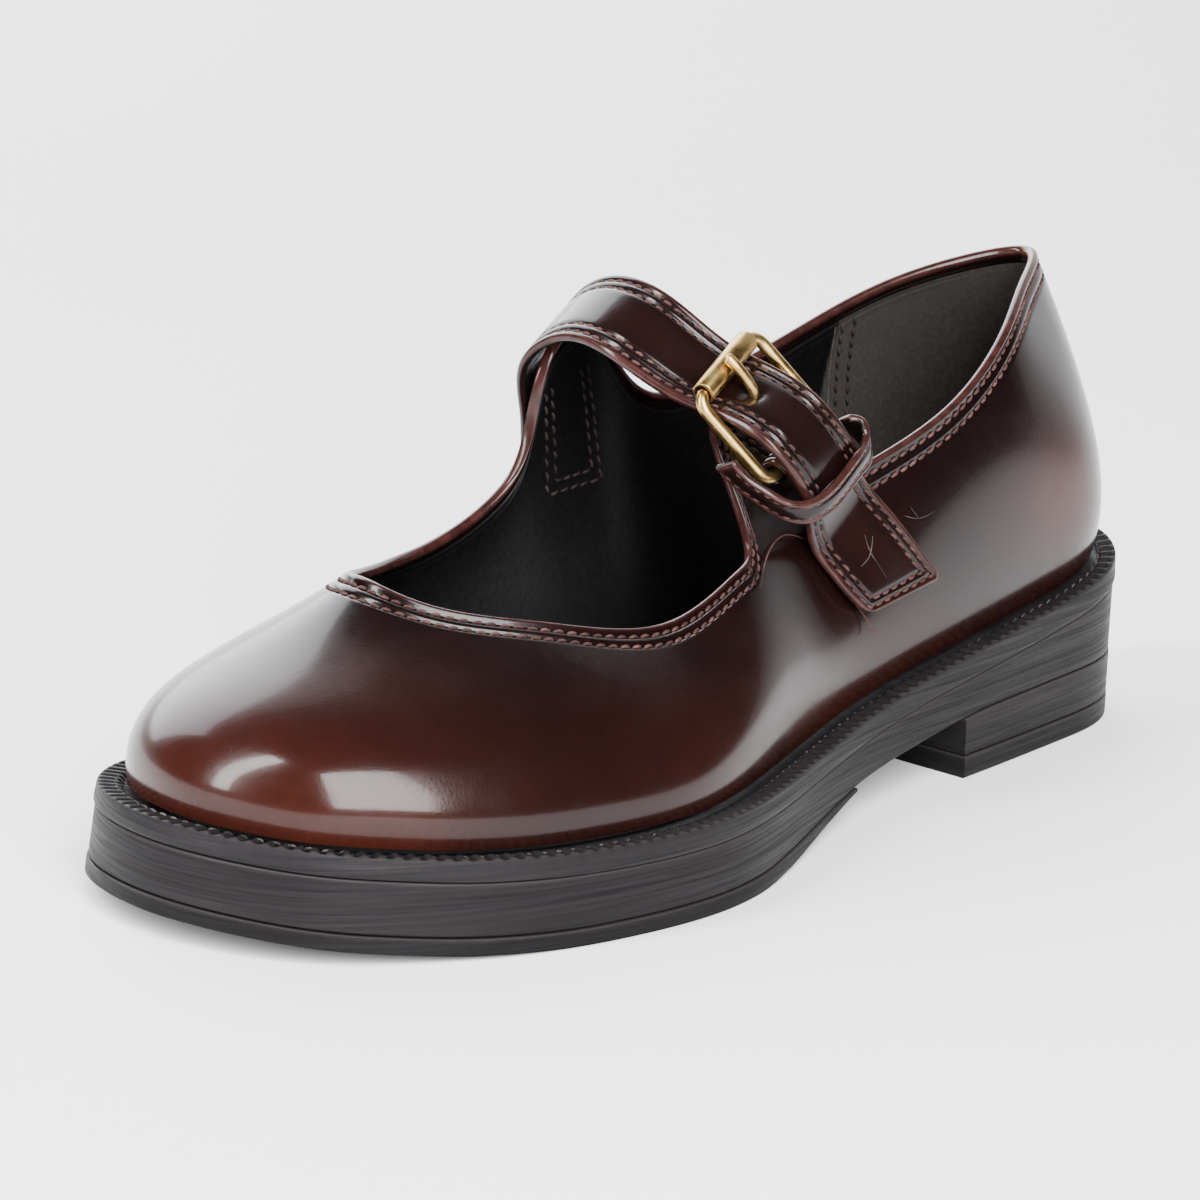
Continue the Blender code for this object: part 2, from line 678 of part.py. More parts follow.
def wire(name, path, diameter, closed, colour, roughness):
    """A round wire along a path of points, as a mesh."""
    curve = bpy.data.curves.new(name, "CURVE")
    curve.dimensions = "3D"
    curve.bevel_depth = diameter / 2 * MM
    curve.bevel_resolution = 2
    curve.use_fill_caps = True
    run = curve.splines.new("POLY")
    run.points.add(len(path) - 1)
    for point, place in zip(run.points, world(path)):
        point.co = (*place, 1)
    run.use_cyclic_u = closed
    helper = bpy.data.objects.new(name + "_path", curve)
    mesh = bpy.data.meshes.new_from_object(helper)
    mesh.name = name
    bpy.data.objects.remove(helper)
    bpy.data.curves.remove(curve)
    mesh.materials.clear()
    work = bmesh.new()
    work.from_mesh(mesh)
    bmesh.ops.remove_doubles(work, verts=work.verts, dist=0.01 * MM)
    bmesh.ops.recalc_face_normals(work, faces=work.faces)
    work.to_mesh(mesh)
    work.free()
    return add_object(name, mesh, colour, roughness, 1.0)


def make_buckle():
    """The bent frame, the tube on its upper bar and the prong."""
    bar, side, out = buckle_axes()
    centre = np.array(ROLLER_CENTRE)
    frame = []
    corners = (
        (BUCKLE_HALF_WIDTH, 0.0, -90),
        (BUCKLE_HALF_WIDTH, BUCKLE_LENGTH, 0),
        (-BUCKLE_HALF_WIDTH, BUCKLE_LENGTH, 90),
        (-BUCKLE_HALF_WIDTH, 0.0, 180),
    )
    for across, down, first in corners:
        middle_across = across - math.copysign(BUCKLE_CORNER, across)
        middle_down = down + (BUCKLE_CORNER if down == 0.0 else -BUCKLE_CORNER)
        for degrees in range(first, first + 91, BUCKLE_BEND_STEP):
            turn = math.radians(degrees)
            sideways = middle_across + BUCKLE_CORNER * math.cos(turn)
            downwards = middle_down + BUCKLE_CORNER * math.sin(turn)
            frame.append(centre + bar * sideways + side * downwards)
    wire("buckle_frame", frame, BUCKLE_WIRE, True, BRASS_COLOUR, 0.3)

    rims = []
    for end in (-0.5, 0.5):
        for diameter in (ROLLER_BORE, ROLLER_DIAMETER):
            rims.append(ring_points(centre + bar * ROLLER_LENGTH * end, out, side, diameter))
    points = np.stack([rims[0], rims[1], rims[3], rims[2]], axis=1).reshape(-1, 3)
    faces = grid_faces(ROUND_STEPS, 4, rows_closed=True, columns_closed=True)
    add_object("buckle_roller", closed_mesh("buckle_roller", points, faces), BRASS_COLOUR, 0.3, 1.0)

    wire("buckle_prong", prong_points(), PRONG_WIRE, False, BRASS_COLOUR, 0.3)


def main():
    for old in list(bpy.data.objects):
        bpy.data.objects.remove(old)
    for name in (COLLECTION, CUTTERS):
        bpy.context.scene.collection.children.link(bpy.data.collections.new(name))
    make_sole()
    make_upper()
    make_strap()
    make_buckle()
    make_chape()
    make_keeper()


if __name__ == "__main__":
    main()
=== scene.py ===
"""The looks of the left strap shoe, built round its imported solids.

Each solid is made again here in fine detail, and the lining, stitches, loose threads and scratches are added.
The tables of the shoe's shape are the solids' own, in millimetres along, across and up from the heel's back.
"""

import math
from functools import partial

import bmesh
import bpy
import numpy as np
from mathutils import Matrix, Vector

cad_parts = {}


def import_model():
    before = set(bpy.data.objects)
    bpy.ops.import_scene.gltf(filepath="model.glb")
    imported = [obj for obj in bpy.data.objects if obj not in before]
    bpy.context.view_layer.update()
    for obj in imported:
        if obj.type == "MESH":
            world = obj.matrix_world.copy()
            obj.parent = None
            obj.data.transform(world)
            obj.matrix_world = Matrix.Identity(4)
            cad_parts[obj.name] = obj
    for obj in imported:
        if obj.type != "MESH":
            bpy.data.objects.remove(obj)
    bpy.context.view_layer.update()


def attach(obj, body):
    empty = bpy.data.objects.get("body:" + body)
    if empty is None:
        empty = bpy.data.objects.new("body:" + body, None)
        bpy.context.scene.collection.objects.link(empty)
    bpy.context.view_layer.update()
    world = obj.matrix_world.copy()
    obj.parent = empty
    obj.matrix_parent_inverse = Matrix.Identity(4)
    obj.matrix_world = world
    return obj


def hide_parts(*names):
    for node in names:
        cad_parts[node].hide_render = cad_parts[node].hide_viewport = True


MM = 0.001

# Driving sizes
LENGTH = 264.0
GAP = 0.3
WALL = 2.0
HEEL_BREAST = 71.5
TOP_LIFT = 4.6
INSOLE_RISE = 1.8
STRAP_WIDTH = 20.0
STRAP_THICKNESS = 1.8
CHAPE_THICKNESS = 1.6
KEEPER_WIDTH = 5.4
KEEPER_THICKNESS = 1.6
BUCKLE_HALF_WIDTH = 12.2
BUCKLE_LENGTH = 21.5
BUCKLE_CORNER = 3.2
BUCKLE_WIRE = 2.6
BUCKLE_BEND_STEP = 6
ROLLER_LENGTH = 19.0
ROLLER_BORE = 3.3
ROLLER_DIAMETER = 4.7
PRONG_WIRE = 2.2
HOLE_DIAMETER = 3.4
WELT_UNDER_WALL = 0.9
WAIST_TAPER = 12.0
CHAPE_SIDE_ROOM = 1.6

# How many points the sole's outline has, and how many places along it
OUTLINE_POINTS = 720
SOLE_STATIONS = 150

# How far a row may run sideways before it turns from square across the seat towards its own edge.
HEADING_SPAN = 25.0

# The sole's outline: how far it reaches to the outer and the inner side of the centre line.
SOLE_OUTLINE = (
    # along, outer, inner
    (12, 21.5, 22.0),
    (35, 28.3, 30.8),
    (70, 32.4, 30.6),
    (105, 37.0, 27.2),
    (140, 48.7, 33.0),
    (170, 58.0, 41.0),
    (195, 57.3, 46.0),
    (220, 51.0, 46.0),
    (240, 40.8, 40.4),
    (254, 29.5, 29.3),
    (261, 16.5, 16.5),
)
HEEL_TIP_ACROSS = -0.5
TOE_TIP_ACROSS = 0.5

# Heights along the shoe: the welt's top, the underside of the sole, and how thick the layers are.
SOLE_HEIGHTS = (
    # along, welt top, underside, outsole, welt, flare of the edge, inset of the upper's seat
    (0, 37.0, 14.3, 0.0, 5.6, -0.6, 5.0),
    (30, 31.6, 14.2, 0.0, 5.5, -0.6, 5.2),
    (62, 27.4, 13.6, 0.0, 5.3, -0.2, 5.8),
    (85, 24.3, 11.2, 0.0, 5.0, 0.2, 6.3),
    (105, 21.2, 8.3, 0.3, 4.8, 0.5, 6.6),
    (125, 18.9, 4.2, 1.6, 4.5, 0.8, 6.6),
    (145, 18.0, 1.0, 2.9, 4.3, 1.1, 6.6),
    (160, 17.8, 0.0, 3.2, 4.2, 1.3, 6.6),
    (185, 17.6, 0.0, 3.2, 4.2, 1.5, 6.6),
    (205, 17.8, 0.0, 3.2, 4.2, 1.8, 6.6),
    (225, 18.6, 0.6, 3.2, 4.2, 2.1, 6.7),
    (245, 20.5, 2.4, 3.2, 4.2, 2.4, 6.9),
    (264, 22.8, 5.0, 3.2, 4.2, 2.6, 7.0),
)
OUTSOLE_BACK = 112.0

# The upper follows the last, with one row for each place round the shoe. The seat is where the leather stands
# on the welt, and the crest is a smooth line over the last. Lean is in degrees outwards from upright at the
# seat, fall is in degrees below level at the crest, and rise and reach say how long the leather keeps each of
# those two directions. Cut is the share of the way from seat to crest at which the opening's edge lies.
OUTER = -1
INNER = 1
UPPER_ROWS = (
    # place, seat along, side, crest along, crest across, crest up, lean, rise, fall, reach, cut
    ("back seam", 0, OUTER, 16.0, 3.0, 98.0, 12, 22, 62, 24, 1.0),
    ("outer counter", 14, OUTER, 30.0, -8.5, 95.0, 18, 22, 68, 21, 1.0),
    ("outer counter end", 40, OUTER, 48.0, -16.5, 91.0, 17, 21, 64, 19, 0.94),
    ("outer quarter", 64, OUTER, 70.0, -18.5, 85.5, 12, 20, 60, 19, 0.83),
    ("outer quarter dip", 86, OUTER, 92.0, -13.0, 81.0, 9, 20, 53, 20, 0.75),
    ("outer notch", 103, OUTER, 107.5, -6.5, 77.0, 8, 20, 49, 21, 0.82),
    ("outer wing top", 116, OUTER, 119.0, -3.0, 76.8, 11, 20, 43, 22, 1.0),
    ("outer wing front", 131, OUTER, 127.0, -7.5, 70.0, 14, 19, 37, 23, 0.76),
    ("outer wing foot", 148, OUTER, 132.0, -11.5, 63.5, 15, 18, 31, 22, 0.74),
    ("outer ball", 170, OUTER, 155.0, -13.0, 57.5, 14, 17, 30, 21, 0.72),
    ("outer throat", 198, OUTER, 181.0, -11.0, 56.5, 13, 18, 29, 22, 0.83),
    ("outer toe", 232, OUTER, 199.5, -5.5, 56.0, 12, 20, 32, 25, 0.96),
    ("throat", 264, INNER, 206.0, 4.5, 58.0, 9, 23, 35, 28, 1.0),
    ("inner toe", 232, INNER, 200.0, 14.5, 57.0, 8, 20, 38, 24, 0.98),
    ("inner throat", 202, INNER, 179.0, 21.5, 57.5, 11, 16, 41, 19, 0.86),
    ("inner ball", 172, INNER, 156.0, 27.0, 62.0, 13, 15, 46, 17, 0.76),
    ("inner wing foot", 152, INNER, 142.0, 29.0, 68.5, 13, 17, 58, 18, 0.80),
    ("inner wing front", 139, INNER, 137.0, 29.8, 77.0, 12, 18, 68, 20, 0.84),
    ("inner wing front top", 130, INNER, 133.8, 30.6, 84.5, 10, 20, 71, 22, 1.0),
    ("inner wing rear top", 117, INNER, 118.0, 31.2, 91.0, 9, 20, 70, 22, 1.0),
    ("inner notch", 107, INNER, 108.5, 28.8, 84.5, 8, 20, 77, 18, 0.88),
    ("inner quarter dip", 88, INNER, 92.0, 28.0, 84.0, 8, 20, 76, 18, 0.82),
    ("inner quarter", 64, INNER, 66.5, 26.5, 85.5, 10, 20, 73, 18, 0.91),
    ("inner counter end", 40, INNER, 45.5, 22.5, 90.0, 12, 20, 66, 19, 0.98),
    ("inner counter", 14, INNER, 26.5, 14.5, 95.0, 12, 22, 60, 21, 1.0),
)

# The strap's outer face, from its sewn end on the inner wing over the instep to its tip in the keeper. Swing
# and lift are the degrees by which its width, from front edge to rear edge, turns inwards and rises.
STRAP_ROWS = (
    # place, along, across, up, swing, lift
    ("sewn end", 123.4, 34.0, 54.5, -8, 4),
    ("inner wing", 123.6, 35.2, 64.0, -5, 5),
    ("inner wing top", 124.8, 35.9, 75.0, 2, 11),
    ("inner shoulder", 128.3, 35.3, 87.2, 12, 20),
    ("instep", 129.4, 25.3, 96.3, 12, 28),
    ("outer shoulder", 129.6, 7.1, 95.8, 4, 31),
    ("roller", 124.7, -6.6, 88.1, 11, 25),
    ("below the roller", 122.4, -16.1, 85.6, 14, 21),
    ("lower bar", 120.6, -26.2, 81.3, 14, 21),
    ("keeper", 113.7, -29.6, 71.4, 11, 21),
    ("tip", 110.7, -29.5, 66.8, 9, 20),
)

# The buckle's frame: the middle of its upper bar, the way along it to the rear, and the way down its sides.
ROLLER_CENTRE = (124.6, -10.9, 89.9)
BAR_WAY = (-0.89, 0.22, 0.40)
SIDE_WAY = (-0.43, -0.50, -0.75)

# The prong in the buckle's own directions: out from the roller's centre and down the side bars. It goes from
# its tip on the roller through the strap, and ends short of the fold round the lower bar.
PRONG_PATH = (
    # out, down
    (3.5, -2.3),
    (3.8, 0.0),
    (3.85, 2.3),
    (3.6, 4.7),
    (2.9, 6.9),
    (1.7, 8.4),
    (0.2, 9.8),
    (-1.5, 11.3),
    (-3.1, 13.0),
    (-4.2, 15.2),
)
HOLE_AT_POINT = 5
PRONG_ASIDE = -1.5

# The chape's sewn part, as places on the outer quarter with how far its face stands off the leather.
CHAPE_ROWS = (
    # along, across, up, swing, lift, stand off, width
    (90.2, -31.0, 40.9, 0, 10, 2.2, 23.2),
    (95.2, -30.0, 46.0, 1, 14, 2.2, 22.8),
    (100.0, -28.0, 52.7, 3, 26, 2.4, 21.5),
    (103.8, -25.5, 58.7, 5, 28, 3.2, 21.0),
)

# The chape on its way to the fold: below the lower bar, and how much closer to the foot than the fold's face.
CHAPE_LEAD = (
    # down, drop
    (6.0, 0.6),
    (2.6, 0.0),
)
CHAPE_TURN_UNDER = 3.0

# The keeper in the strap's own directions: sideways to the rear, out from its face and down along it.
# The last two columns give the way from the band's upper edge to its lower edge.
KEEPER_PATH = (
    # sideways, out, down, edge out, edge down
    (-18.0, -11.2, -13.0, -0.95, 0.30),
    (-17.5, -8.8, -9.0, -0.95, 0.30),
    (-16.7, -5.5, -5.7, -0.90, 0.40),
    (-15.4, -2.8, -2.5, -0.75, 0.65),
    (-13.1, 0.3, -0.1, -0.30, 0.95),
    (-8.6, 2.2, 0.7, -0.15, 1.00),
    (-1.0, 2.4, 0.6, -0.10, 1.00),
    (6.0, 2.1, -0.1, -0.10, 1.00),
    (12.3, 0.3, -0.9, -0.15, 0.98),
    (13.1, -0.9, -3.1, -0.55, 0.85),
    (12.9, -2.7, -4.6, -0.80, 0.60),
    (11.7, -4.2, -5.6, -0.95, 0.40),
)
KEEPER_AT_ROW = 10.51


def spline(knots, values, at, closed=False):
    """A smooth cubic curve through the values. A closed one runs on from its last knot to its first."""
    knots = np.asarray(knots, float)
    values = np.asarray(values, float)
    steps = np.diff(knots)
    rows = len(knots) - 1 if closed else len(knots)
    matrix = np.zeros((rows, rows))
    right = np.zeros((rows,) + values.shape[1:])
    slopes = np.diff(values, axis=0) / steps.reshape((-1,) + (1,) * (values.ndim - 1))
    inside = range(rows) if closed else range(1, rows - 1)
    for row in inside:
        before = steps[row - 1]
        after = steps[row]
        matrix[row, (row - 1) % rows] += before
        matrix[row, row] += 2 * (before + after)
        matrix[row, (row + 1) % rows] += after
        right[row] = 6 * (slopes[row] - slopes[row - 1])
    if not closed:
        matrix[0, 0] = 1
        matrix[-1, -1] = 1
    bends = np.linalg.solve(matrix, right)
    if closed:
        bends = np.concatenate([bends, bends[:1]])
    at = np.asarray(at, float)
    span = np.clip(np.searchsorted(knots, at, side="right") - 1, 0, len(steps) - 1)
    shape = at.shape + (1,) * (values.ndim - 1)
    width = steps[span].reshape(shape)
    near = (at - knots[span]).reshape(shape) / width
    far = 1 - near
    curve = far * values[span] + near * values[span + 1]
    bend = (far**3 - far) * bends[span] + (near**3 - near) * bends[span + 1]
    return curve + bend * width**2 / 6


def unit(vectors):
    """The vectors at length one."""
    return vectors / np.linalg.norm(vectors, axis=-1, keepdims=True)


def along_line(points, closed=False):
    """A line's points and how far along it each is. A closed line ends with its first point again."""
    if closed:
        points = np.concatenate([points, points[:1]])
    steps = np.linalg.norm(np.diff(points, axis=0), axis=1)
    return points, np.concatenate([[0], np.cumsum(steps)])


def interpolate(at, knots, points):
    """The points at places between their knots, joined by straight lines."""
    return np.stack([np.interp(at, knots, axis) for axis in points.T], axis=-1)


def height_column(column, along):
    """A column of the table of sole heights, anywhere along the shoe, without overshoot between its rows."""
    table = np.array(SOLE_HEIGHTS, float)
    knots = table[:, 0]
    values = table[:, column]
    slopes = np.diff(values) / np.diff(knots)
    tangents = np.zeros(len(knots))
    same_way = slopes[:-1] * slopes[1:] > 0
    tangents[1:-1][same_way] = (2 * slopes[:-1] * slopes[1:])[same_way] / (slopes[:-1] + slopes[1:])[same_way]
    tangents[0] = slopes[0]
    tangents[-1] = slopes[-1]
    along = np.clip(along, knots[0], knots[-1])
    span = np.clip(np.searchsorted(knots, along, side="right") - 1, 0, len(slopes) - 1)
    width = knots[span + 1] - knots[span]
    near = (along - knots[span]) / width
    far = 1 - near
    return (
        (1 + 2 * near) * far**2 * values[span]
        + near * far**2 * width * tangents[span]
        + near**2 * (3 - 2 * near) * values[span + 1]
        - near**2 * far * width * tangents[span + 1]
    )


welt_top, underside, outsole_thickness, welt_thickness, flare, seat_inset = (
    partial(height_column, column) for column in range(1, 7)
)


def outline_loop():
    """Points round the sole's outline and the outward directions there, from the heel by the outer side."""
    heel_tip = [(0, HEEL_TIP_ACROSS)]
    toe_tip = [(LENGTH, TOE_TIP_ACROSS)]
    outer = [(along, -reach) for along, reach, _ in SOLE_OUTLINE]
    inner = [(along, reach) for along, _, reach in reversed(SOLE_OUTLINE)]
    points, knots = along_line(np.array(heel_tip + outer + toe_tip + inner + heel_tip, float))
    places = np.linspace(0, knots[-1], OUTLINE_POINTS + 1)
    loop = spline(knots, points, places, closed=True)
    ahead = unit(np.roll(loop[:-1], -1, axis=0) - np.roll(loop[:-1], 1, axis=0))
    outward = np.stack([ahead[:, 1], -ahead[:, 0]], axis=1)
    return loop[:-1], outward


LOOP, LOOP_OUTWARD = outline_loop()


def edge_loop(height, inset=0.0):
    """The sole's edge at a height, given as a function of along, with its flare and a further inset."""
    along = LOOP[:, 0]
    share = height(along) / welt_top(along)
    inset = flare(along) * (share - 0.5) + inset
    return LOOP - LOOP_OUTWARD * inset[:, None]


def world(points):
    """Shoe millimetres to scene metres: the origin is on the floor, in the middle of the sole's box."""
    points = np.asarray(points, float)
    edges = np.concatenate([edge_loop(underside), edge_loop(welt_top)])
    along, across = (edges.max(axis=0) + edges.min(axis=0)) / 2
    moved = np.stack([along - points[..., 0], points[..., 1] - across, points[..., 2]], axis=-1)
    return moved * MM


def stations(loop, first, last):
    """Matching outer and inner points of a loop, at stations that crowd together towards both ends.

    A first station of 0 means the loop's own heel end, and a last one of LENGTH its own toe end.
    """
    front = int(np.argmax(loop[:, 0]))
    back = int(np.argmin(loop[:, 0]))
    rolled = np.roll(loop, -back, axis=0)
    turn = (front - back) % len(loop)
    outer = rolled[: turn + 1]
    inner = np.concatenate([rolled[:1], rolled[: turn - 1 : -1]])
    if first == 0:
        first = loop[back, 0]
    if last == LENGTH:
        last = loop[front, 0]
    share = (1 - np.cos(np.linspace(0, math.pi, SOLE_STATIONS + 1))) / 2
    along = first + (last - first) * share
    return along, np.interp(along, outer[:, 0], outer[:, 1]), np.interp(along, inner[:, 0], inner[:, 1])


def seat_places():
    """Where each row of the upper stands, as an index round the outline's loop that grows from row to row."""
    toe = int(np.argmax(LOOP[:, 0]))
    places = []
    for _, along, side, *_ in UPPER_ROWS:
        if side == OUTER:
            places.append(int(np.argmin(np.abs(LOOP[: toe + 1, 0] - along))))
        else:
            places.append(toe + int(np.argmin(np.abs(LOOP[toe:, 0] - along))))
    return np.array(places, float)


def upper_knots():
    """How far round the upper's crest each row lies, with the first row again at the end."""
    crest = np.array([row[3:6] for row in UPPER_ROWS], float)
    chords = np.linalg.norm(np.roll(crest, -1, axis=0) - crest, axis=1)
    return np.concatenate([[0], np.cumsum(np.sqrt(chords))])


def round_outline(values, index):
    """Values of the outline's points at fractional indices, which may run a little past either end."""
    corners = np.arange(-5, len(LOOP) + 6)
    return interpolate(index, corners, values[corners % len(LOOP)])


def upper_surface(round_places, rings):
    """The upper's outer face at places round it: a grid of points from the seat to the opening's edge."""
    knots = upper_knots()
    rows = np.array([row[3:] for row in UPPER_ROWS], float)
    rows = np.concatenate([rows, rows[:1]])
    shapes = spline(knots, rows, round_places, closed=True)
    count = len(LOOP)
    drift = np.concatenate([seat_places(), [count]]) - count * knots / knots[-1]
    index = spline(knots, drift, round_places, closed=True) + count * round_places / knots[-1]
    outline = round_outline(LOOP, index)
    outward = unit(round_outline(LOOP_OUTWARD, index))
    seat_xy = outline - outward * seat_inset(outline[:, 0])[:, None]
    seat = np.column_stack([seat_xy, welt_top(seat_xy[:, 0]) + GAP])
    crest = shapes[:, :3]
    lean = np.radians(shapes[:, 3])
    rise = shapes[:, 4]
    fall = np.radians(shapes[:, 5])
    reach = shapes[:, 6]
    leaning = np.column_stack([outward * np.sin(lean)[:, None], np.cos(lean)])
    heading = unit(outward + (seat_xy - crest[:, :2]) / HEADING_SPAN)
    falling = np.column_stack([heading * np.cos(fall)[:, None], -np.sin(fall)])
    handles = (seat, seat + leaning * rise[:, None], crest + falling * reach[:, None], crest)
    up = np.linspace(0, 1, rings + 1) * shapes[:, 7][:, None]
    weights = ((1 - up) ** 3, 3 * up * (1 - up) ** 2, 3 * up**2 * (1 - up), up**3)
    return sum(weight[:, :, None] * handle[:, None, :] for weight, handle in zip(weights, handles))


def width_way(swing, lift):
    """The direction from a band's front edge to its rear edge."""
    swing = np.radians(swing)
    lift = np.radians(lift)
    return np.stack([-np.cos(lift) * np.cos(swing), np.cos(lift) * np.sin(swing), np.sin(lift)], axis=-1)


def buckle_axes():
    """The buckle's own directions: along its bars, down its sides and out from the foot."""
    bar = unit(np.array(BAR_WAY))
    side = np.array(SIDE_WAY)
    side = unit(side - bar * np.dot(side, bar))
    out = np.cross(bar, side)
    return bar, side, out if out[1] < 0 else -out


# ---- Finer sizes, in millimetres

# The radius of the upper's rolled edge, the lining's thickness, how far below the edge the lining begins, and
# where the leather starts to thin out for it
RIM = WALL / 2
LINING = 0.4
LINING_TOP = 3.6
LEATHER_THINS = 2.0

# The lining is suede behind this place along the shoe, measured at a level, and the suede's edge leans.
HEEL_LINING = 52.0
HEEL_LINING_LEVEL = 70
HEEL_LINING_LEAN = 0.09

# The fine upper: steps between two rows of its table, steps up each column, and how its rings are spaced
UPPER_FINE_STEPS = 34
UPPER_FINE_RINGS = 160
NEAR_EDGE = 7.5
NEAR_EDGE_STEP = 0.3
FAR_RINGS = 30
RIM_TURNS = range(18, 180, 18)

# How leather stands off its face near an edge: a rolled rim, a groove for each row of stitches and a ridge
# between the rows.
RIM_END = 1.2
UPPER_RELIEF = {"rim": 0.32, "flat_from": 1.8, "groove": (0.42, 0.5), "ridge": (0.12, 0.8)}
BAND_RELIEF = {"rim": 0.15, "flat_from": 2.0, "groove": (0.36, 0.45), "ridge": (0.1, 0.6)}
# The cut edge's lighter brown, partly its own colour and partly a painted highlight where the rolled edge
# catches light, fades into the face's between these distances from the edge.
CUT_EDGE = (0.9, 1.5)

# The rubbed place on the edge at the heel's back: its strength, its width, how far forward it may be, and
# between which distances below the edge it fades
RUB_STRENGTH = 0.8
RUB_WIDTH = 2.6
RUB_BEFORE = 40
RUB_DEPTHS = (0.4, 1.6)

# How far in from its edge each row of stitches runs
TOP_ROWS = (2.6, 5.2)
STRAP_STITCH_ROWS = (2.1, 4.3)
CHAPE_STITCH_ROWS = (1.9, 3.8)
KEEPER_STITCH_ROWS = (1.3,)
LINING_STITCH_ROWS = (2.4, 4.8)
SEWN_END_ROWS = (2.0, 4.2, 18.0, 20.2)
SEWN_END_SIDES = 5.5
SEWN_LENGTH = 27.0

# The heel lining's seam on the inner side: its rows along the shoe, and how far below the edge they begin
# and end
HEEL_SEAM_ROWS = (47.0, 50.0)
HEEL_SEAM_TOP = 4.0
HEEL_SEAM_FOOT = 46.0
INNER_SIDE_FROM = 10.0

# Pitch, length and thickness of each kind of stitch
NOTCH_PITCH = 3.2
LEATHER_STITCH = (2.65, 2.25, 0.72)
KEEPER_STITCH = (2.2, 2.0, 0.5)
WELT_STITCH = (NOTCH_PITCH, 1.9, 0.5)
FRAYED_STITCH = (0.55, 1.1, 0.22)

STITCH_SHAPE = (
    # share of the length, share of the radius, lift as a share of the thickness
    (0.0, 0.45, -0.35),
    (0.14, 0.85, 0.1),
    (0.4, 1.0, 0.32),
    (0.6, 1.0, 0.32),
    (0.86, 0.85, 0.1),
    (1.0, 0.45, -0.35),
)
STITCH_SIDES = 6
STITCH_SLANT = 0.16
STITCH_SCATTER = 0.05
STITCH_WOBBLE = 0.04

# Places near a band's ends and across it near its edges, close together where the skin bends most.
BAND_ENDS = (0, 0.08, 0.2, 0.4, 0.65, 0.95, 1.3, 1.7)
BAND_EDGES = (0, 0.08, 0.2, 0.4, 0.65, 0.95, 1.25, 1.55, 1.85, 2.15)
BAND_EDGES += (2.45, 2.8, 3.2, 3.6, 3.95, 4.25, 4.55, 4.9, 5.4)
BAND_BODY = 2.1
BAND_STEP_ALONG = 0.6
BAND_STEP_ACROSS = 0.9
BAND_SHADE_UNDER = 0.85

HOLE_DENT = 0.9
PRONG_TAPER = 0.28
PRONG_SIDES = 18
ROLLER_SIDES = 48

HAIR_RINGS = 24
HAIR_SIDES = 6
HAIR_OUT = (0.15, -0.85, 0.5)

# Loose ends of thread at the outer notch and at the chape's corners, in along, across and up.
OUTER_THREAD = ((112.1, -22.4, 55.0), (117.4, -22.0, 56.8), (125.1, -24.3, 55.2), (129.6, -27.0, 52.8))
LOOSE_THREADS = (
    (*OUTER_THREAD, (133.2, -29.7, 50.4)),
    ((103.5, -28.6, 41.2), (101.4, -29.2, 38.9), (99.9, -30.3, 36.0), (99.0, -31.6, 34.8)),
)

# Scratches on the chape and just behind it
SCRATCHES = (
    ((99.5, -27.0, 54.9), (99.1, -28.3, 51.7), (97.7, -29.5, 48.8), (96.0, -30.3, 46.0)),
    ((97.6, -27.5, 54.5), (100.1, -28.7, 50.5), (102.4, -28.9, 49.3)),
    ((86.1, -25.8, 56.4), (82.5, -26.5, 55.4), (78.2, -26.8, 56.2)),
    ((84.3, -25.8, 57.8), (83.4, -26.1, 56.6), (82.5, -26.5, 55.4)),
)

# The welt's cross-section, from its foot over the notched top to its inner edge. The notches are cut into it.
BOTTOM = 1
TOP = -1
WELT_PROFILE = (
    # inset from the outline, which height, how far from that height, share of the notch's depth
    (0.10, BOTTOM, 0.0, 0.0),
    (-0.10, BOTTOM, 0.5, 0.0),
    (-0.14, BOTTOM, 1.1, 0.0),
    (-0.05, BOTTOM, 2.2, 0.0),
    (0.0, TOP, 1.8, 0.0),
    (0.02, TOP, 1.0, 0.0),
    (0.08, TOP, 0.5, 0.0),
    (0.22, TOP, 0.2, 0.05),
    (0.5, TOP, 0.02, 0.3),
    (0.85, TOP, 0.0, 0.7),
    (1.1, TOP, 0.0, 0.9),
    (1.4, TOP, 0.0, 1.0),
    (1.9, TOP, 0.0, 1.0),
    (2.5, TOP, 0.0, 1.0),
    (3.1, TOP, 0.02, 1.0),
    (3.6, TOP, 0.05, 1.0),
    (4.0, TOP, 0.25, 0.8),
    (4.3, TOP, 0.7, 0.3),
    (4.7, TOP, 1.1, 0.0),
    (5.6, TOP, 1.2, 0.0),
)
WELT_INSIDE = ((TOP, 1.2), (BOTTOM, 0.0))
NOTCH_DEPTH = 1.4
WELT_PLACES_PER_NOTCH = 8
# Insets above the first of these stretch with the upper's seat, and are for a seat at the second one's inset.
WELT_FIXED = 2
WELT_SEAT = 6.0
# The thread between the notches: its share of the seat's inset, and how far below the top its line is
WELT_THREAD_SHARE = 0.7
WELT_THREAD_DOWN = 0.75

# A sole layer's eased edge: how far up and how far in each of its rings is.
SOLE_ROUNDING = 0.35
EASED_EDGE = ((0.0, SOLE_ROUNDING), (0.12, SOLE_ROUNDING * 0.35), (SOLE_ROUNDING, 0.0))
MIDSOLE_SEAMS = (2.4,)
SOLE_SEAM_WIDTH = 0.2

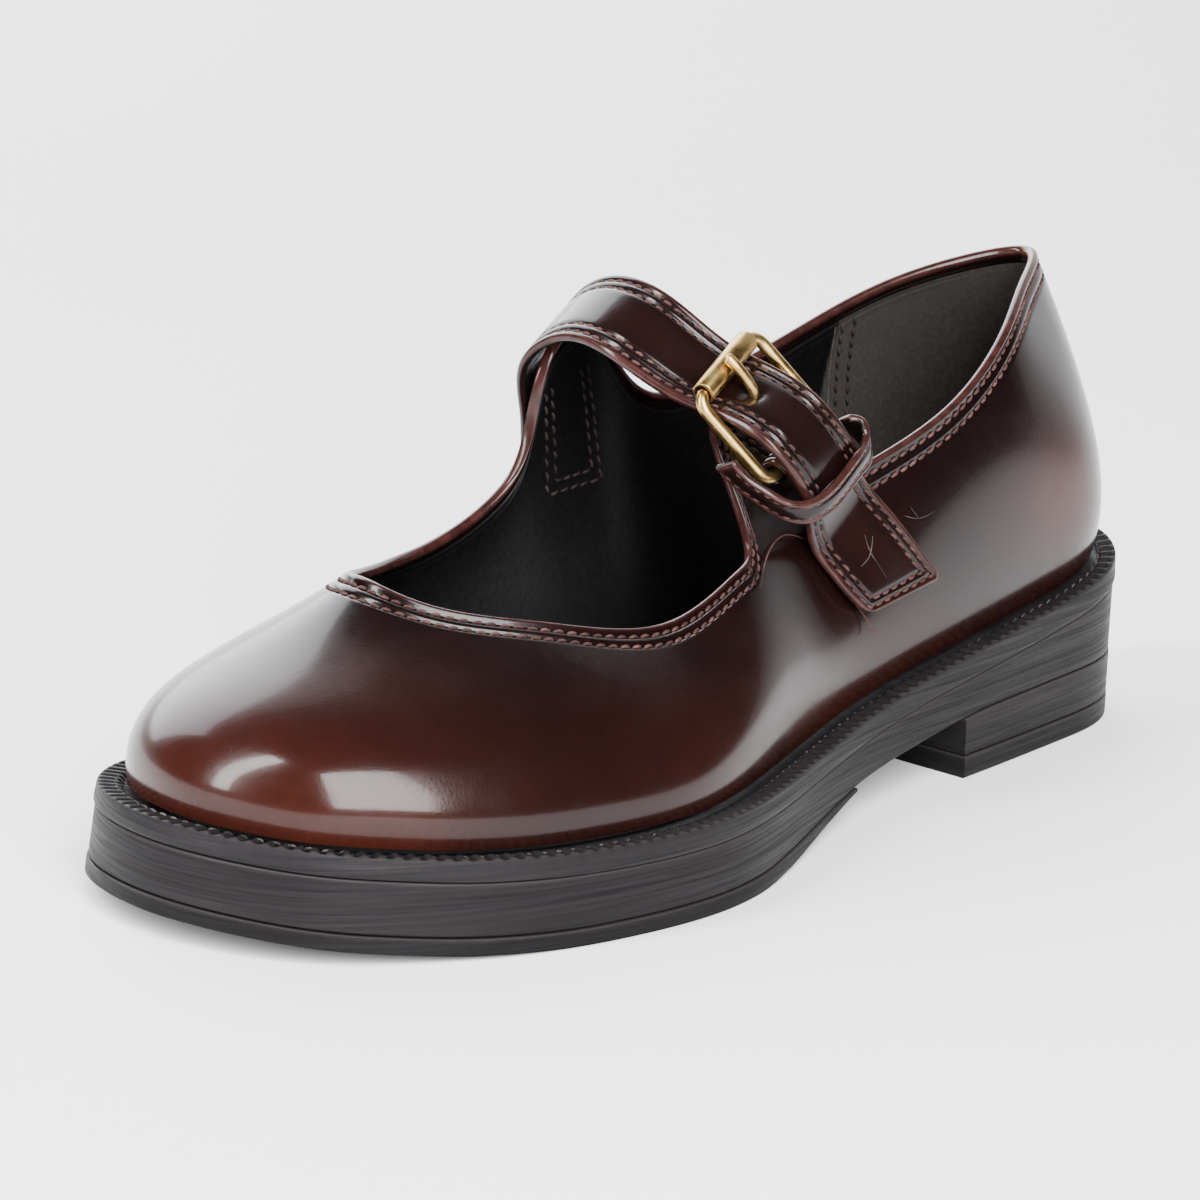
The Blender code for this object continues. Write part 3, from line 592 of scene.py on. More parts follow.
# Linear colours, from dark to light
LEATHER_DARK = (0.0035, 0.0014, 0.0015)
UPPER_BROWNS = (LEATHER_DARK, (0.0135, 0.0036, 0.0027), (0.036, 0.008, 0.0045))
STRAP_BROWNS = (LEATHER_DARK, (0.012, 0.0042, 0.0036), (0.03, 0.008, 0.006))
EDGE_BROWN_AND_HIGHLIGHT = (0.04, 0.013, 0.011)
RUBBED = (0.13, 0.045, 0.018)
SHADED = (0.003, 0.0025, 0.0025)
LINING_BLACKS = ((0.001, 0.0009, 0.001), (0.0026, 0.0021, 0.002))
HEEL_SUEDE = ((0.007, 0.0052, 0.0044), (0.02, 0.0155, 0.0125))
HEEL_SUEDE_WORN = (0.005, 0.0038, 0.0033)
FOOTBED = ((0.003, 0.0025, 0.0025), (0.008, 0.0065, 0.006))
BROWN_THREAD = ((0.025, 0.011, 0.01), (0.125, 0.06, 0.052))
PALE_THREAD = ((0.012, 0.01, 0.009), (0.13, 0.11, 0.095))
DARK_THREAD = ((0.008, 0.0055, 0.0055), (0.045, 0.028, 0.026))
OUTSOLE_BLACKS = ((0.003, 0.0027, 0.003), (0.009, 0.008, 0.009), (0.007, 0.005, 0.0055))
STACK_BLACKS = ((0.004, 0.0036, 0.004), (0.014, 0.0125, 0.014), (0.013, 0.009, 0.0085))
WELT_BLACKS = ((0.006, 0.0055, 0.006), (0.016, 0.0145, 0.016), (0.012, 0.01, 0.0105))
SEAM_AND_SHADE_BLACK = (0.006, 0.005, 0.006)
SOLE_EDGE_HIGHLIGHT = (0.06, 0.052, 0.054)
BRASS = ((0.3, 0.18, 0.058), (0.53, 0.35, 0.13), (0.65, 0.46, 0.2))
FLOOR_WHITES = ((0.93, 0.93, 0.935), (0.95, 0.95, 0.95))

# The studio, in metres and watts. The camera's roll is in degrees, and its lens and sensor in millimetres.
FLOOR_REACH = 3.0
FLOOR_BACK = 0.9
BACKDROP_BEND = 0.8
BACKDROP_TOP = 3.0
BACKDROP_WAY = (0.72, 0.69)
LIGHTS = (
    # name, place, width and height, power, colour
    ("back_softbox", (0.4, 1.3, 0.85), (1.7, 1.15), 42, (0.92, 0.95, 1.0)),
    ("left_window", (-1.22, 0.42, 0.95), (0.26, 1.7), 50, (1.0, 1.0, 1.0)),
    ("front_window", (-0.66, -1.2, 1.0), (0.9, 1.65), 118, (1.0, 1.0, 1.0)),
)
LIGHT_TARGET = (0.0, 0.0, 0.05)
WORLD_STRENGTH = 0.06
CAMERA_PLACE = (-0.8252, -0.7565, 0.3452)
CAMERA_TARGET = (-0.0095, 0.0106, 0.0423)
CAMERA_ROLL = 1.76
CAMERA_LENS = 176.0
CAMERA_SENSOR = 36.0


def smooth_step(low, high, values):
    """Goes smoothly from 0 at low to 1 at high."""
    share = np.clip((values - low) / (high - low), 0, 1)
    return share * share * (3 - 2 * share)


def bump_at(centre, width, values):
    """A smooth rise to 1 at the centre."""
    return np.exp(-(((values - centre) / width) ** 2))


def grid_faces(rows, columns, rows_closed=False, columns_closed=False):
    """The four-sided faces between points numbered row by row."""
    row = np.arange(rows if rows_closed else rows - 1)[:, None]
    column = np.arange(columns if columns_closed else columns - 1)[None, :]
    above = (row + 1) % rows * columns
    beside = (column + 1) % columns
    here = row * columns
    corners = (here + column, here + beside, above + beside, above + column)
    return np.stack([corner.ravel() for corner in corners], axis=1)


def add_piece(name, points, faces, material, slot, replaced=(), sharp=50, caps=(), **values):
    """A mesh in shoe millimetres that rides on the shoe. Values are numbers for each point, for its look."""
    faces = [tuple(face) for face in np.asarray(faces).tolist()] + [tuple(cap) for cap in caps]
    mesh = bpy.data.meshes.new(name)
    mesh.from_pydata(world(np.reshape(points, (-1, 3))).tolist(), [], faces)
    for key, numbers in values.items():
        numbers = np.asarray(numbers, np.float32).ravel()
        mesh.attributes.new(key, "FLOAT", "POINT").data.foreach_set("value", numbers)
    work = bmesh.new()
    work.from_mesh(mesh)
    bmesh.ops.remove_doubles(work, verts=work.verts, dist=0.001 * MM)
    bmesh.ops.recalc_face_normals(work, faces=work.faces)
    work.to_mesh(mesh)
    work.free()
    mesh.shade_smooth()
    mesh.set_sharp_from_angle(angle=math.radians(sharp))
    mesh.materials.append(material)
    piece = bpy.data.objects.new(name, mesh)
    bpy.context.scene.collection.objects.link(piece)
    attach(piece, "root")
    if replaced:
        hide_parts(*replaced)


def add_ring_piece(name, points, *arguments, **values):
    """A piece from a grid of points that is closed both ways."""
    faces = grid_faces(*points.shape[:2], rows_closed=True, columns_closed=True)
    add_piece(name, points, faces, *arguments, **values)


# ---- Materials
class Look:
    """A material and the few kinds of node that the looks are made from."""

    def __init__(self, name):
        self.material = bpy.data.materials.new(name)
        self.material.use_nodes = True
        self.tree = self.material.node_tree
        self.shader = self.tree.nodes["Principled BSDF"]
        self.place = self.node("TexCoord").outputs["Object"]

    def put(self, value, socket):
        """A constant, or another node's output, on a socket."""
        if isinstance(value, bpy.types.NodeSocket):
            self.tree.links.new(value, socket)
        else:
            socket.default_value = value

    def set(self, **inputs):
        for name, value in inputs.items():
            self.put(value, self.shader.inputs[name.replace("_", " ").title().replace("Ior", "IOR")])

    def node(self, kind, *values, **inputs):
        """A node with values on its sockets, in their order or by name."""
        node = self.tree.nodes.new("ShaderNode" + kind)
        for value, socket in zip(values, node.inputs):
            self.put(value, socket)
        for name, value in inputs.items():
            self.put(value, node.inputs[name])
        return node

    def attribute(self, name):
        node = self.node("Attribute")
        node.attribute_name = name
        return node.outputs["Fac"]

    def noise(self, scale, detail, roughness, place=None):
        inputs = {"Vector": place or self.place, "Scale": scale, "Detail": detail, "Roughness": roughness}
        return self.node("TexNoise", **inputs).outputs["Fac"]

    def math(self, operation, first, second):
        node = self.node("Math", first, second)
        node.operation = operation
        return node.outputs["Value"]

    def span(self, value, to_low=0.0, to_high=1.0, low=0.3, high=0.7):
        """The value's run from low to high, brought smoothly to another range."""
        node = self.node("MapRange", value, low, high, to_low, to_high)
        node.interpolation_type = "SMOOTHSTEP"
        return node.outputs["Result"]

    def ramp(self, value, *stops):
        """Colours at shares of the value."""
        node = self.node("ValToRGB", value)
        elements = node.color_ramp.elements
        for at, _ in stops[2:]:
            elements.new(at)
        for element, (at, colour) in zip(elements, stops):
            element.position = at
            element.color = (*colour, 1)
        return node.outputs["Color"]

    def mix(self, share, first, second):
        node = self.node("Mix")
        node.data_type = "RGBA"
        self.put(share, node.inputs["Factor"])
        for value, socket in zip((first, second), (node.inputs["A"], node.inputs["B"])):
            self.put(value if isinstance(value, bpy.types.NodeSocket) else (*value, 1), socket)
        return node.outputs["Result"]

    def streaked_place(self, scale, level_scale):
        """The place with its height given by the level, stretched along the layers."""
        x, y, _ = self.node("SeparateXYZ", self.place).outputs
        values = [
            self.math("MULTIPLY", x, scale),
            self.math("MULTIPLY", y, scale),
            self.math("MULTIPLY", self.attribute("level"), level_scale),
        ]
        return self.node("CombineXYZ", *values).outputs["Vector"]

    def bumps(self, *heights):
        """Bumps laid one on another, each a strength, a distance in millimetres and a height."""
        below = {}
        for strength, distance, height in heights:
            node = self.node("Bump", Strength=strength, Distance=distance * MM, Height=height, **below)
            below = {"Normal": node.outputs["Normal"]}
        self.set(normal=below["Normal"])


def polished_leather(name, dark, middle, light):
    """Brushed-off leather: dark with lighter brown where tone is high, glossy, with a very fine grain."""
    look = Look(name)
    clouds = look.noise(38, 4, 0.6)
    tone = look.math("ADD", look.attribute("tone"), look.span(clouds, -0.07, 0.07))
    mottle = look.noise(420, 2, 0.5)
    colour = look.ramp(tone, (0.0, dark), (0.5, middle), (1.0, light))
    colour = look.mix(look.span(mottle, 0.0, 0.16, 0.35, 0.75), colour, dark)
    # Near cut edges the brown turns lighter: partly the edge's own colour, partly a painted highlight on the
    # rolled edge.
    edge = look.math("MULTIPLY", look.attribute("edge"), look.span(look.noise(300, 3, 0.6), 0.35, 0.85))
    colour = look.mix(edge, colour, EDGE_BROWN_AND_HIGHLIGHT)
    colour = look.mix(look.attribute("rub"), colour, RUBBED)
    look.set(
        base_color=look.mix(look.attribute("shade"), colour, SHADED),
        roughness=look.span(look.noise(90, 5, 0.65), 0.19, 0.27, 0.3, 0.75),
        specular_ior_level=0.16,
        coat_weight=0.26,
        coat_roughness=look.span(mottle, 0.07, 0.14, 0.3, 0.8),
        specular_tint=(1.0, 0.97, 0.98, 1.0),
    )
    look.bumps(
        (0.1, 1.0, look.noise(30, 2, 0.5)),
        (0.1, 0.1, look.node("TexVoronoi", Vector=look.place, Scale=1500).outputs["Distance"]),
        (0.08, 0.1, look.noise(2600, 2, 0.6)),
    )
    return look.material


def footbed_look():
    """Black suede, worn in patches."""
    look = Look("footbed")
    low, high = FOOTBED
    nap = look.noise(1400, 5, 0.7)
    patches = look.noise(55, 4, 0.6)
    look.set(
        base_color=look.mix(look.span(patches, 0.0, 0.6), look.ramp(nap, (0.3, low), (0.75, high)), low),
        roughness=look.span(patches, 0.8, 0.95),
        sheen_weight=0.3,
        sheen_roughness=0.5,
    )
    look.bumps((0.5, 0.25, nap), (0.3, 0.4, look.noise(260, 3, 0.6)))
    return look.material


def lining_look():
    """Smooth black textile with suede at the heel."""
    look = Look("lining")
    heel = look.attribute("heel")
    nap = look.noise(900, 5, 0.7)
    patches = look.noise(48, 4, 0.6)
    weave = look.noise(700, 2, 0.5)
    front = look.ramp(weave, (0.3, LINING_BLACKS[0]), (0.7, LINING_BLACKS[1]))
    back = look.ramp(nap, (0.3, HEEL_SUEDE[0]), (0.72, HEEL_SUEDE[1]))
    back = look.mix(look.span(patches, 0.0, 0.5, 0.35, 0.7), back, HEEL_SUEDE_WORN)
    look.set(
        base_color=look.mix(heel, front, back),
        roughness=look.span(heel, 0.5, 0.92, 0.0, 1.0),
        specular_ior_level=0.15,
        sheen_weight=look.math("MULTIPLY", heel, 0.2),
        sheen_roughness=0.45,
    )
    look.bumps((0.4, 0.25, nap), (0.2, 0.5, patches))
    return look.material


def thread_look(name, low, high):
    """Twisted thread, patchy in colour."""
    look = Look(name)
    twist = look.noise(2200, 3, 0.6)
    colour = look.ramp(twist, (0.3, low), (0.7, high))
    look.set(
        base_color=look.mix(look.span(look.noise(160, 3, 0.6)), colour, low),
        roughness=look.span(twist, 0.55, 0.75),
        specular_ior_level=0.12,
    )
    look.bumps((0.6, 0.15, twist))
    return look.material


def sole_edge_look(name, low, high, tint):
    """The waxed edge of stacked layers, with brushed streaks along it, darker seams with painted shade in the
    welt's notches, and painted highlights along the top edges.
    """
    look = Look(name)
    streaks = look.noise(1.0, 6, 0.7, look.streaked_place(26.0, 1.6))
    tints = look.noise(1.0, 3, 0.6, look.streaked_place(14.0, 0.5))
    colour = look.ramp(streaks, (0.3, low), (0.7, high))
    colour = look.mix(look.span(tints, 0.0, 0.55, 0.5, 0.75), colour, tint)
    # Darker along the seams between layers, and painted shade deep in the welt's notches.
    colour = look.mix(look.math("MULTIPLY", look.attribute("seam_and_shade"), 0.8), colour, SEAM_AND_SHADE_BLACK)
    look.set(
        # Painted highlights along the top edges of the layers and the welt, lighter in colour.
        base_color=look.mix(look.math("MULTIPLY", look.attribute("edge_highlight"), 0.6), colour, SOLE_EDGE_HIGHLIGHT),
        roughness=look.span(streaks, 0.6, 0.38),
        specular_ior_level=0.08,
    )
    look.bumps((0.3, 0.2, streaks), (0.2, 0.08, look.noise(1500, 3, 0.6)))
    return look.material


def brass_look():
    """Aged brass, a little darker in clouds."""
    look = Look("antique_brass")
    clouds = look.noise(170, 4, 0.6)
    look.set(
        base_color=look.ramp(clouds, (0.3, BRASS[0]), (0.55, BRASS[1]), (0.8, BRASS[2])),
        metallic=1.0,
        roughness=look.span(clouds, 0.26, 0.4),
    )
    look.bumps((0.1, 0.08, look.noise(2400, 3, 0.6)), (0.12, 0.4, look.noise(300, 2, 0.5)))
    return look.material


# ---- Upper and lining
def edge_relief(inset, rows, rim, flat_from, groove, ridge):
    """How far leather stands off its face at distances from its edge. Grooves and ridges have a width too."""
    edge = rim * (1 - smooth_step(RIM_END, flat_from, inset))
    grooves = sum(-groove[0] * bump_at(row, groove[1], inset) for row in rows)
    between = ridge[0] * bump_at(sum(rows) / len(rows), ridge[1], inset) if len(rows) > 1 else 0.0
    return edge + grooves + between


def upper_face():
    """The face's points, ways out and distances below the edge, with rings close together near the edge."""
    knots = upper_knots()
    spans = [np.linspace(*ends, UPPER_FINE_STEPS, endpoint=False) for ends in zip(knots[:-1], knots[1:])]
    fine = upper_surface(np.concatenate(spans), UPPER_FINE_RINGS)
    lengths = np.linalg.norm(np.diff(fine, axis=1), axis=2)
    climbed = np.concatenate([np.zeros((len(fine), 1)), np.cumsum(lengths, axis=1)], axis=1)
    below = climbed[:, -1:] - climbed
    near = np.arange(RIM, NEAR_EDGE, NEAR_EDGE_STEP)
    share = np.linspace(0, 1, FAR_RINGS)[1:]
    far = near[-1] + (below[:, :1] - near[-1]) * share**1.15
    wanted = np.concatenate([np.repeat(near[None, :], len(fine), axis=0), far], axis=1)[:, ::-1]
    columns = [interpolate(at, down[::-1], curve[::-1]) for at, down, curve in zip(wanted, below, fine)]
    face = np.stack(columns)
    round_way = np.roll(face, -1, axis=0) - np.roll(face, 1, axis=0)
    return face, unit(np.cross(round_way, np.gradient(face, axis=1))), wanted


FACE, FACE_OUT, FACE_BELOW = upper_face()


def face_line(below):
    """A closed line on the face at a distance below the edge, with the ways out along it."""
    ring = int(np.argmin(np.abs(FACE_BELOW[0] - below)))
    lift = edge_relief(FACE_BELOW[:, ring], TOP_ROWS, **UPPER_RELIEF)
    return FACE[:, ring] + FACE_OUT[:, ring] * lift[:, None], FACE_OUT[:, ring], True


def tone_and_painted_light(points, below):
    """How light the leather's brown is: dark along the opening and lighter low down and at the toe. The patch
    behind on the outer side is lighter partly from the leather's redder tone and partly from painted light.
    """
    along, across, up = np.moveaxis(points, -1, 0)
    low = 1 - smooth_step(20, 50, up)
    toe = smooth_step(200, 250, along)
    away = smooth_step(5, 24, below)
    # Painted light: a lighter patch on the outer side of the heel, partly the leather's own redder tone.
    behind = bump_at(30, 24, along) * bump_at(52, 15, up) * (across < 0)
    middle = bump_at(120, 45, along) * low
    return 0.05 + away * (0.28 * low + 0.46 * toe + 0.85 * behind + 0.2 * middle + 0.05)


def make_upper(leather):
    """The leather's skin: up its face, over a rolled edge and down its inside."""
    relief = edge_relief(FACE_BELOW, TOP_ROWS, **UPPER_RELIEF)
    outer = FACE + FACE_OUT * relief[..., None]
    thick = WALL - LINING * smooth_step(LEATHER_THINS, LINING_TOP, FACE_BELOW)
    inner = FACE - FACE_OUT * thick[..., None]
    top_out = FACE_OUT[:, -1]
    upwards = unit(FACE[:, -1] - FACE[:, -3])
    high = relief[:, -1]
    middle = FACE[:, -1] - top_out * ((WALL - high) / 2)[:, None]
    rim = []
    for turn in np.radians(RIM_TURNS):
        outwards = top_out * (math.cos(turn) * (WALL + high) / 2)[:, None]
        rim.append(middle + outwards + upwards * (math.sin(turn) * RIM))
    profile = np.concatenate([outer, np.stack(rim, axis=1), inner[:, ::-1]], axis=1)
    below = np.concatenate([FACE_BELOW, np.zeros((len(FACE), len(rim))), FACE_BELOW[:, ::-1]], axis=1)
    back_seam = bump_at(0, RUB_WIDTH, profile[..., 1]) * (profile[..., 0] < RUB_BEFORE)
    values = {"tone": tone_and_painted_light(profile, below), "edge": 1 - smooth_step(*CUT_EDGE, below), "shade": 0 * below}
    rub = RUB_STRENGTH * back_seam * (1 - smooth_step(*RUB_DEPTHS, below))
    add_ring_piece("upper_leather", profile, leather, "upper_leather", ["upper"], rub=rub, **values)


def make_lining(lining):
    """The lining's skin, which thins out towards the upper's edge and is pressed in where stitches run."""
    rings = FACE_BELOW[0] >= LINING_TOP - NEAR_EDGE_STEP / 2
    face, out, below = FACE[:, rings], FACE_OUT[:, rings], FACE_BELOW[:, rings]
    groove = 0.15 * bump_at(TOP_ROWS[1], 0.5, below)
    rounding = 0.3 * (1 - smooth_step(LINING_TOP, LINING_TOP + 0.9, below))
    near = face - out * (WALL - LINING + 0.03)
    far = face - out * (WALL - groove - rounding)[..., None]
    profile = np.concatenate([near, far[:, ::-1]], axis=1)
    leaning = profile[..., 0] + HEEL_LINING_LEAN * (profile[..., 2] - HEEL_LINING_LEVEL)
    heel = 1 - smooth_step(HEEL_LINING - 0.4, HEEL_LINING + 0.4, leaning)
    add_ring_piece("lining", profile, lining, "insole", heel=heel)


def nearest_on_upper(point):
    """The nearest point of the upper's face and the way out of it."""
    flat = FACE.reshape(-1, 3)
    nearest = int(np.argmin(np.linalg.norm(flat - point, axis=1)))
    return flat[nearest], FACE_OUT.reshape(-1, 3)[nearest]


# ---- Stitches. A row of them is a line, the ways out along it and whether the line is closed.
def stitch_grid(line, ways, closed, kind, rng):
    """The points of short threads along a line on leather: each dips into it at both ends."""
    pitch, length, thickness = kind
    points, places = along_line(line, closed)
    if closed:
        ways = np.concatenate([ways, ways[:1]])
    count = max(1, int(places[-1] / pitch))
    pitch = places[-1] / count
    share, radius, lift = np.array(STITCH_SHAPE).T
    starts = (np.arange(count) + 0.5) * pitch - length / 2 + rng.normal(0, STITCH_SCATTER, count)
    at = np.clip(starts[:, None] + length * share[None, :], 0, places[-1])
    middle = interpolate(at, places, points)
    out = unit(interpolate(at, places, ways))
    ahead = unit(np.repeat((middle[:, -1] - middle[:, 0])[:, None, :], len(share), axis=1))
    aside = unit(np.cross(ahead, out))
    drift = STITCH_SLANT * (share * 2 - 1)
    wobble = rng.normal(0, STITCH_WOBBLE, (count, 1, 1))
    middle = middle + out * (thickness * lift)[None, :, None] + aside * (drift[None, :, None] + wobble)
    turns = np.linspace(0, 2 * math.pi, STITCH_SIDES, endpoint=False)[:, None]
    rings = out[:, :, None, :] * np.cos(turns) + aside[:, :, None, :] * np.sin(turns)
    return middle[:, :, None, :] + rings * (thickness / 2 * radius)[None, :, None, None]


def add_stitches(name, rows, kind, material, slot, seed):
    """Rows of stitches of one kind as one piece."""
    rng = np.random.default_rng(seed)
    grid = np.concatenate([stitch_grid(*row, kind, rng) for row in rows])
    count, rings, sides = grid.shape[:3]
    starts = np.arange(count) * rings * sides
    faces = grid_faces(rings, sides, columns_closed=True) + starts[:, None, None]
    caps = []
    for first in starts.tolist():
        caps.append(range(first, first + sides))
        caps.append(range(first + (rings - 1) * sides, first + rings * sides))
    add_piece(name, grid, faces.reshape(-1, 4), material, slot, caps=caps)


# ---- Bands: strap, chape and keeper
class Band:
    """A strip of leather along a smooth path, with rows of stitches at these distances from its edges.

    Ways go from its front edge to its rear edge. Its face looks outwards, and lies base above the path.
    """

    def __init__(self, centres, ways, widths, outwards, thickness, rows, base=0.0):
        self.centres = np.asarray(centres, float)
        self.knots = along_line(self.centres)[1]
        self.length = self.knots[-1]
        self.ways = ways
        self.widths = widths
        self.thickness = thickness
        self.rows = rows
        self.base = base
        self.sign = 1.0
        out = self.frame(self.knots)[2]
        if np.dot(out[len(out) // 2], outwards) <= 0:
            self.sign = -1.0

    def frame(self, places):
        """The middle, the way aside, the way out and half the width at places along the band."""
        middle, after, before = (spline(self.knots, self.centres, places + step) for step in (0, 0.05, -0.05))
        way = spline(self.knots, self.ways, places)
        out = unit(np.cross(way, after - before)) * self.sign
        return middle, unit(way), out, np.interp(places, self.knots, self.widths) / 2

    def relief(self, inset):
        return edge_relief(inset, self.rows, **BAND_RELIEF)

    def side_line(self, places, inset, side, lift):
        """A line along one edge, with the ways out along it."""
        middle, way, out, half = self.frame(places)
        aside = side * (half - inset)
        return middle + way * aside[:, None] + out * lift, out

    def cross_line(self, place, inset, lift):
        """A line from edge to edge at one place, with the ways out along it."""
        middle, way, out, half = self.frame(np.array([place]))
        aside = np.linspace(-(half[0] - inset), half[0] - inset, 30)
        return middle + way * aside[:, None] + out * lift, np.repeat(out, len(aside), axis=0)

    def side_rows(self, end):
        """Stitches along both edges, up to a distance from the ends."""
        places = np.linspace(end, self.length - end, 160)
        lines = []
        for row in self.rows:
            lift = self.base + self.relief(np.array([row]))[0]
            lines += [(*self.side_line(places, row, side, lift), False) for side in (-1, 1)]
        return lines

    def turned_rows(self, rows, last):
        """Stitches from a place down one edge, across the band's start and back along the other edge."""
        lines = []
        for row in rows:
            lift = self.base + edge_relief(np.array([row]), rows, **BAND_RELIEF)[0]
            down = np.linspace(last, row, 60)
            cross = [part[1:-1] for part in self.cross_line(row, row, lift)]
            parts = (self.side_line(down, row, -1, lift), cross, self.side_line(down[::-1], row, 1, lift))
            lines.append((*(np.concatenate(part) for part in zip(*parts)), False))
        return lines


def band_asides(half):
    """Shares of a band's half width, from edge to edge, close together near both edges."""
    near = np.array(BAND_EDGES)
    near = near[near < half - 0.2]
    left = near / half
    middle = np.linspace(left[-1], 1, max(2, int((half - near[-1]) / BAND_STEP_ACROSS) + 1))[1:]
    share = np.concatenate([left, middle])
    return np.concatenate([-(1 - share), (1 - share)[::-1][1:]])


def band_grid(band, crown, corner):
    """The closed skin of a band: over its face and back under it, with rounded edges and ends."""
    near = np.array(BAND_ENDS)
    body = max(2, int((band.length - 2 * BAND_BODY) / BAND_STEP_ALONG))
    between = np.linspace(BAND_BODY, band.length - BAND_BODY, body)
    places = np.concatenate([near, between, (band.length - near)[::-1]])
    middle, way, out, half = band.frame(places)
    share = band_asides(float(half.min()))
    end = np.minimum(places, band.length - places)
    short = corner - np.sqrt(np.maximum(corner**2 - np.maximum(corner - end, 0) ** 2, 0))
    reach = half - short
    aside = share[None, :] * reach[:, None]
    inset = np.minimum(reach[:, None] - np.abs(aside), end[:, None])
    radius = band.thickness / 2
    drop = radius - np.sqrt(np.maximum(radius**2 - np.maximum(radius - inset, 0) ** 2, 0))
    bulge = crown * (1 - share[None, :] ** 2)
    face = bulge + band.relief(inset) * smooth_step(0, 0.6, inset) - drop + band.base
    back = -band.thickness + drop + bulge * 0.6 + band.base
    sideways = middle[:, None] + way[:, None] * aside[..., None]
    outer = sideways + out[:, None] * face[..., None]
    inner = sideways + out[:, None] * back[..., None]
    points = np.concatenate([outer, inner[:, -2:0:-1]], axis=1)
    under = np.concatenate([np.zeros(aside.shape), np.ones(aside.shape)[:, -2:0:-1]], axis=1)
    rims = np.concatenate([inset, inset[:, -2:0:-1]], axis=1)
    return points, under, rims


def add_band(name, node, band, material, crown, corner, tone, hole=False):
    """A band's skin as a piece, with painted shade underneath, and drawn in round the prong's hole, with
    painted shade there, if it has one.
    """
    points, under, rims = band_grid(band, crown, corner)
    shade = BAND_SHADE_UNDER * under
    if hole:
        # Painted shade in and round the prong's hole.
        points, dark = draw_in_hole(points)
        shade = np.maximum(shade, dark)
    faces = grid_faces(*points.shape[:2], columns_closed=True)
    tone = tone + 0.12 * smooth_step(4, 9, rims)
    values = {"tone": tone, "edge": 1 - smooth_step(*CUT_EDGE, rims), "rub": 0 * rims, "shade": shade}
    add_piece(name, points, faces, material, "strap_leather", [node], sharp=70, **values)


def strap_band():
    rows = np.array([row[1:] for row in STRAP_ROWS], float)
    ways = width_way(rows[:, 3], rows[:, 4])
    widths = np.full(len(rows), STRAP_WIDTH)
    return Band(rows[:, :3], ways, widths, (0, 0, 1), STRAP_THICKNESS, STRAP_STITCH_ROWS)


def prong_points():
    """The middle line of the prong."""
    bar, side, out = buckle_axes()
    start = np.array(ROLLER_CENTRE) + bar * PRONG_ASIDE
    return np.array([start + out * outwards + side * down for outwards, down in PRONG_PATH])


def from_hole(points):
    """How far points lie from the line of the strap's hole, and the hole's way through the strap."""
    centre, after = prong_points()[HOLE_AT_POINT : HOLE_AT_POINT + 2]
    way = unit(after - centre)
    offset = points - centre
    return np.linalg.norm(offset - (offset @ way)[..., None] * way, axis=-1), way


def draw_in_hole(points):
    """The strap's skin drawn in round the hole, and the painted shade of the hole on each of its points
    there.
    """
    far, way = from_hole(points)
    points = points + way * (HOLE_DENT * bump_at(0, HOLE_DIAMETER / 2, far))[..., None]
    far, _ = from_hole(points)
    return points, 1 - smooth_step(HOLE_DIAMETER / 2 - 0.2, HOLE_DIAMETER / 2 + 0.5, far)


def make_strap(leather, thread):
    band = strap_band()
    add_band("strap_band", "strap", band, leather, crown=0.3, corner=0.6, tone=0.1, hole=True)
    rows = band.side_rows(3.0)
    rows += [(*band.cross_line(inset, SEWN_END_SIDES, 0.2), False) for inset in SEWN_END_ROWS]
    add_stitches("strap_stitches", rows, LEATHER_STITCH, thread, "strap_leather", seed=2)


def make_chape(leather, thread):
    rows = np.array(CHAPE_ROWS, float)
    ways = width_way(rows[:, 3], rows[:, 4])
    centres = []
    for row in rows:
        face, out_of_face = nearest_on_upper(row[:3])
        centres.append(face + out_of_face * row[5])
    bar, side, out = buckle_axes()
    lower_bar = np.array(ROLLER_CENTRE) + side * BUCKLE_LENGTH
    radius = BUCKLE_WIRE / 2 + GAP + CHAPE_THICKNESS / 2
    fold = [(down, radius - drop) for down, drop in CHAPE_LEAD]
    for degrees in range(0, 181, 30):
        turn = math.radians(degrees)
        fold.append((-radius * math.sin(turn), radius * math.cos(turn)))
    fold.append((CHAPE_TURN_UNDER, -radius))
    centres += [lower_bar + side * down + out * outwards for down, outwards in fold]
    ways = np.concatenate([ways, np.repeat([bar], len(fold), axis=0)])
    fold_width = 2 * BUCKLE_HALF_WIDTH - BUCKLE_WIRE - 2 * CHAPE_SIDE_ROOM
    widths = np.concatenate([rows[:, 6], np.full(len(fold), fold_width)])
    base = CHAPE_THICKNESS / 2
    band = Band(centres, ways, widths, out, CHAPE_THICKNESS, CHAPE_STITCH_ROWS, base)
    add_band("chape_tab", "chape", band, leather, crown=0.1, corner=3.4, tone=0.22)
    stitches = band.turned_rows(CHAPE_STITCH_ROWS, band.knots[len(CHAPE_ROWS)])
    add_stitches("chape_stitches", stitches, LEATHER_STITCH, thread, "strap_leather", seed=3)


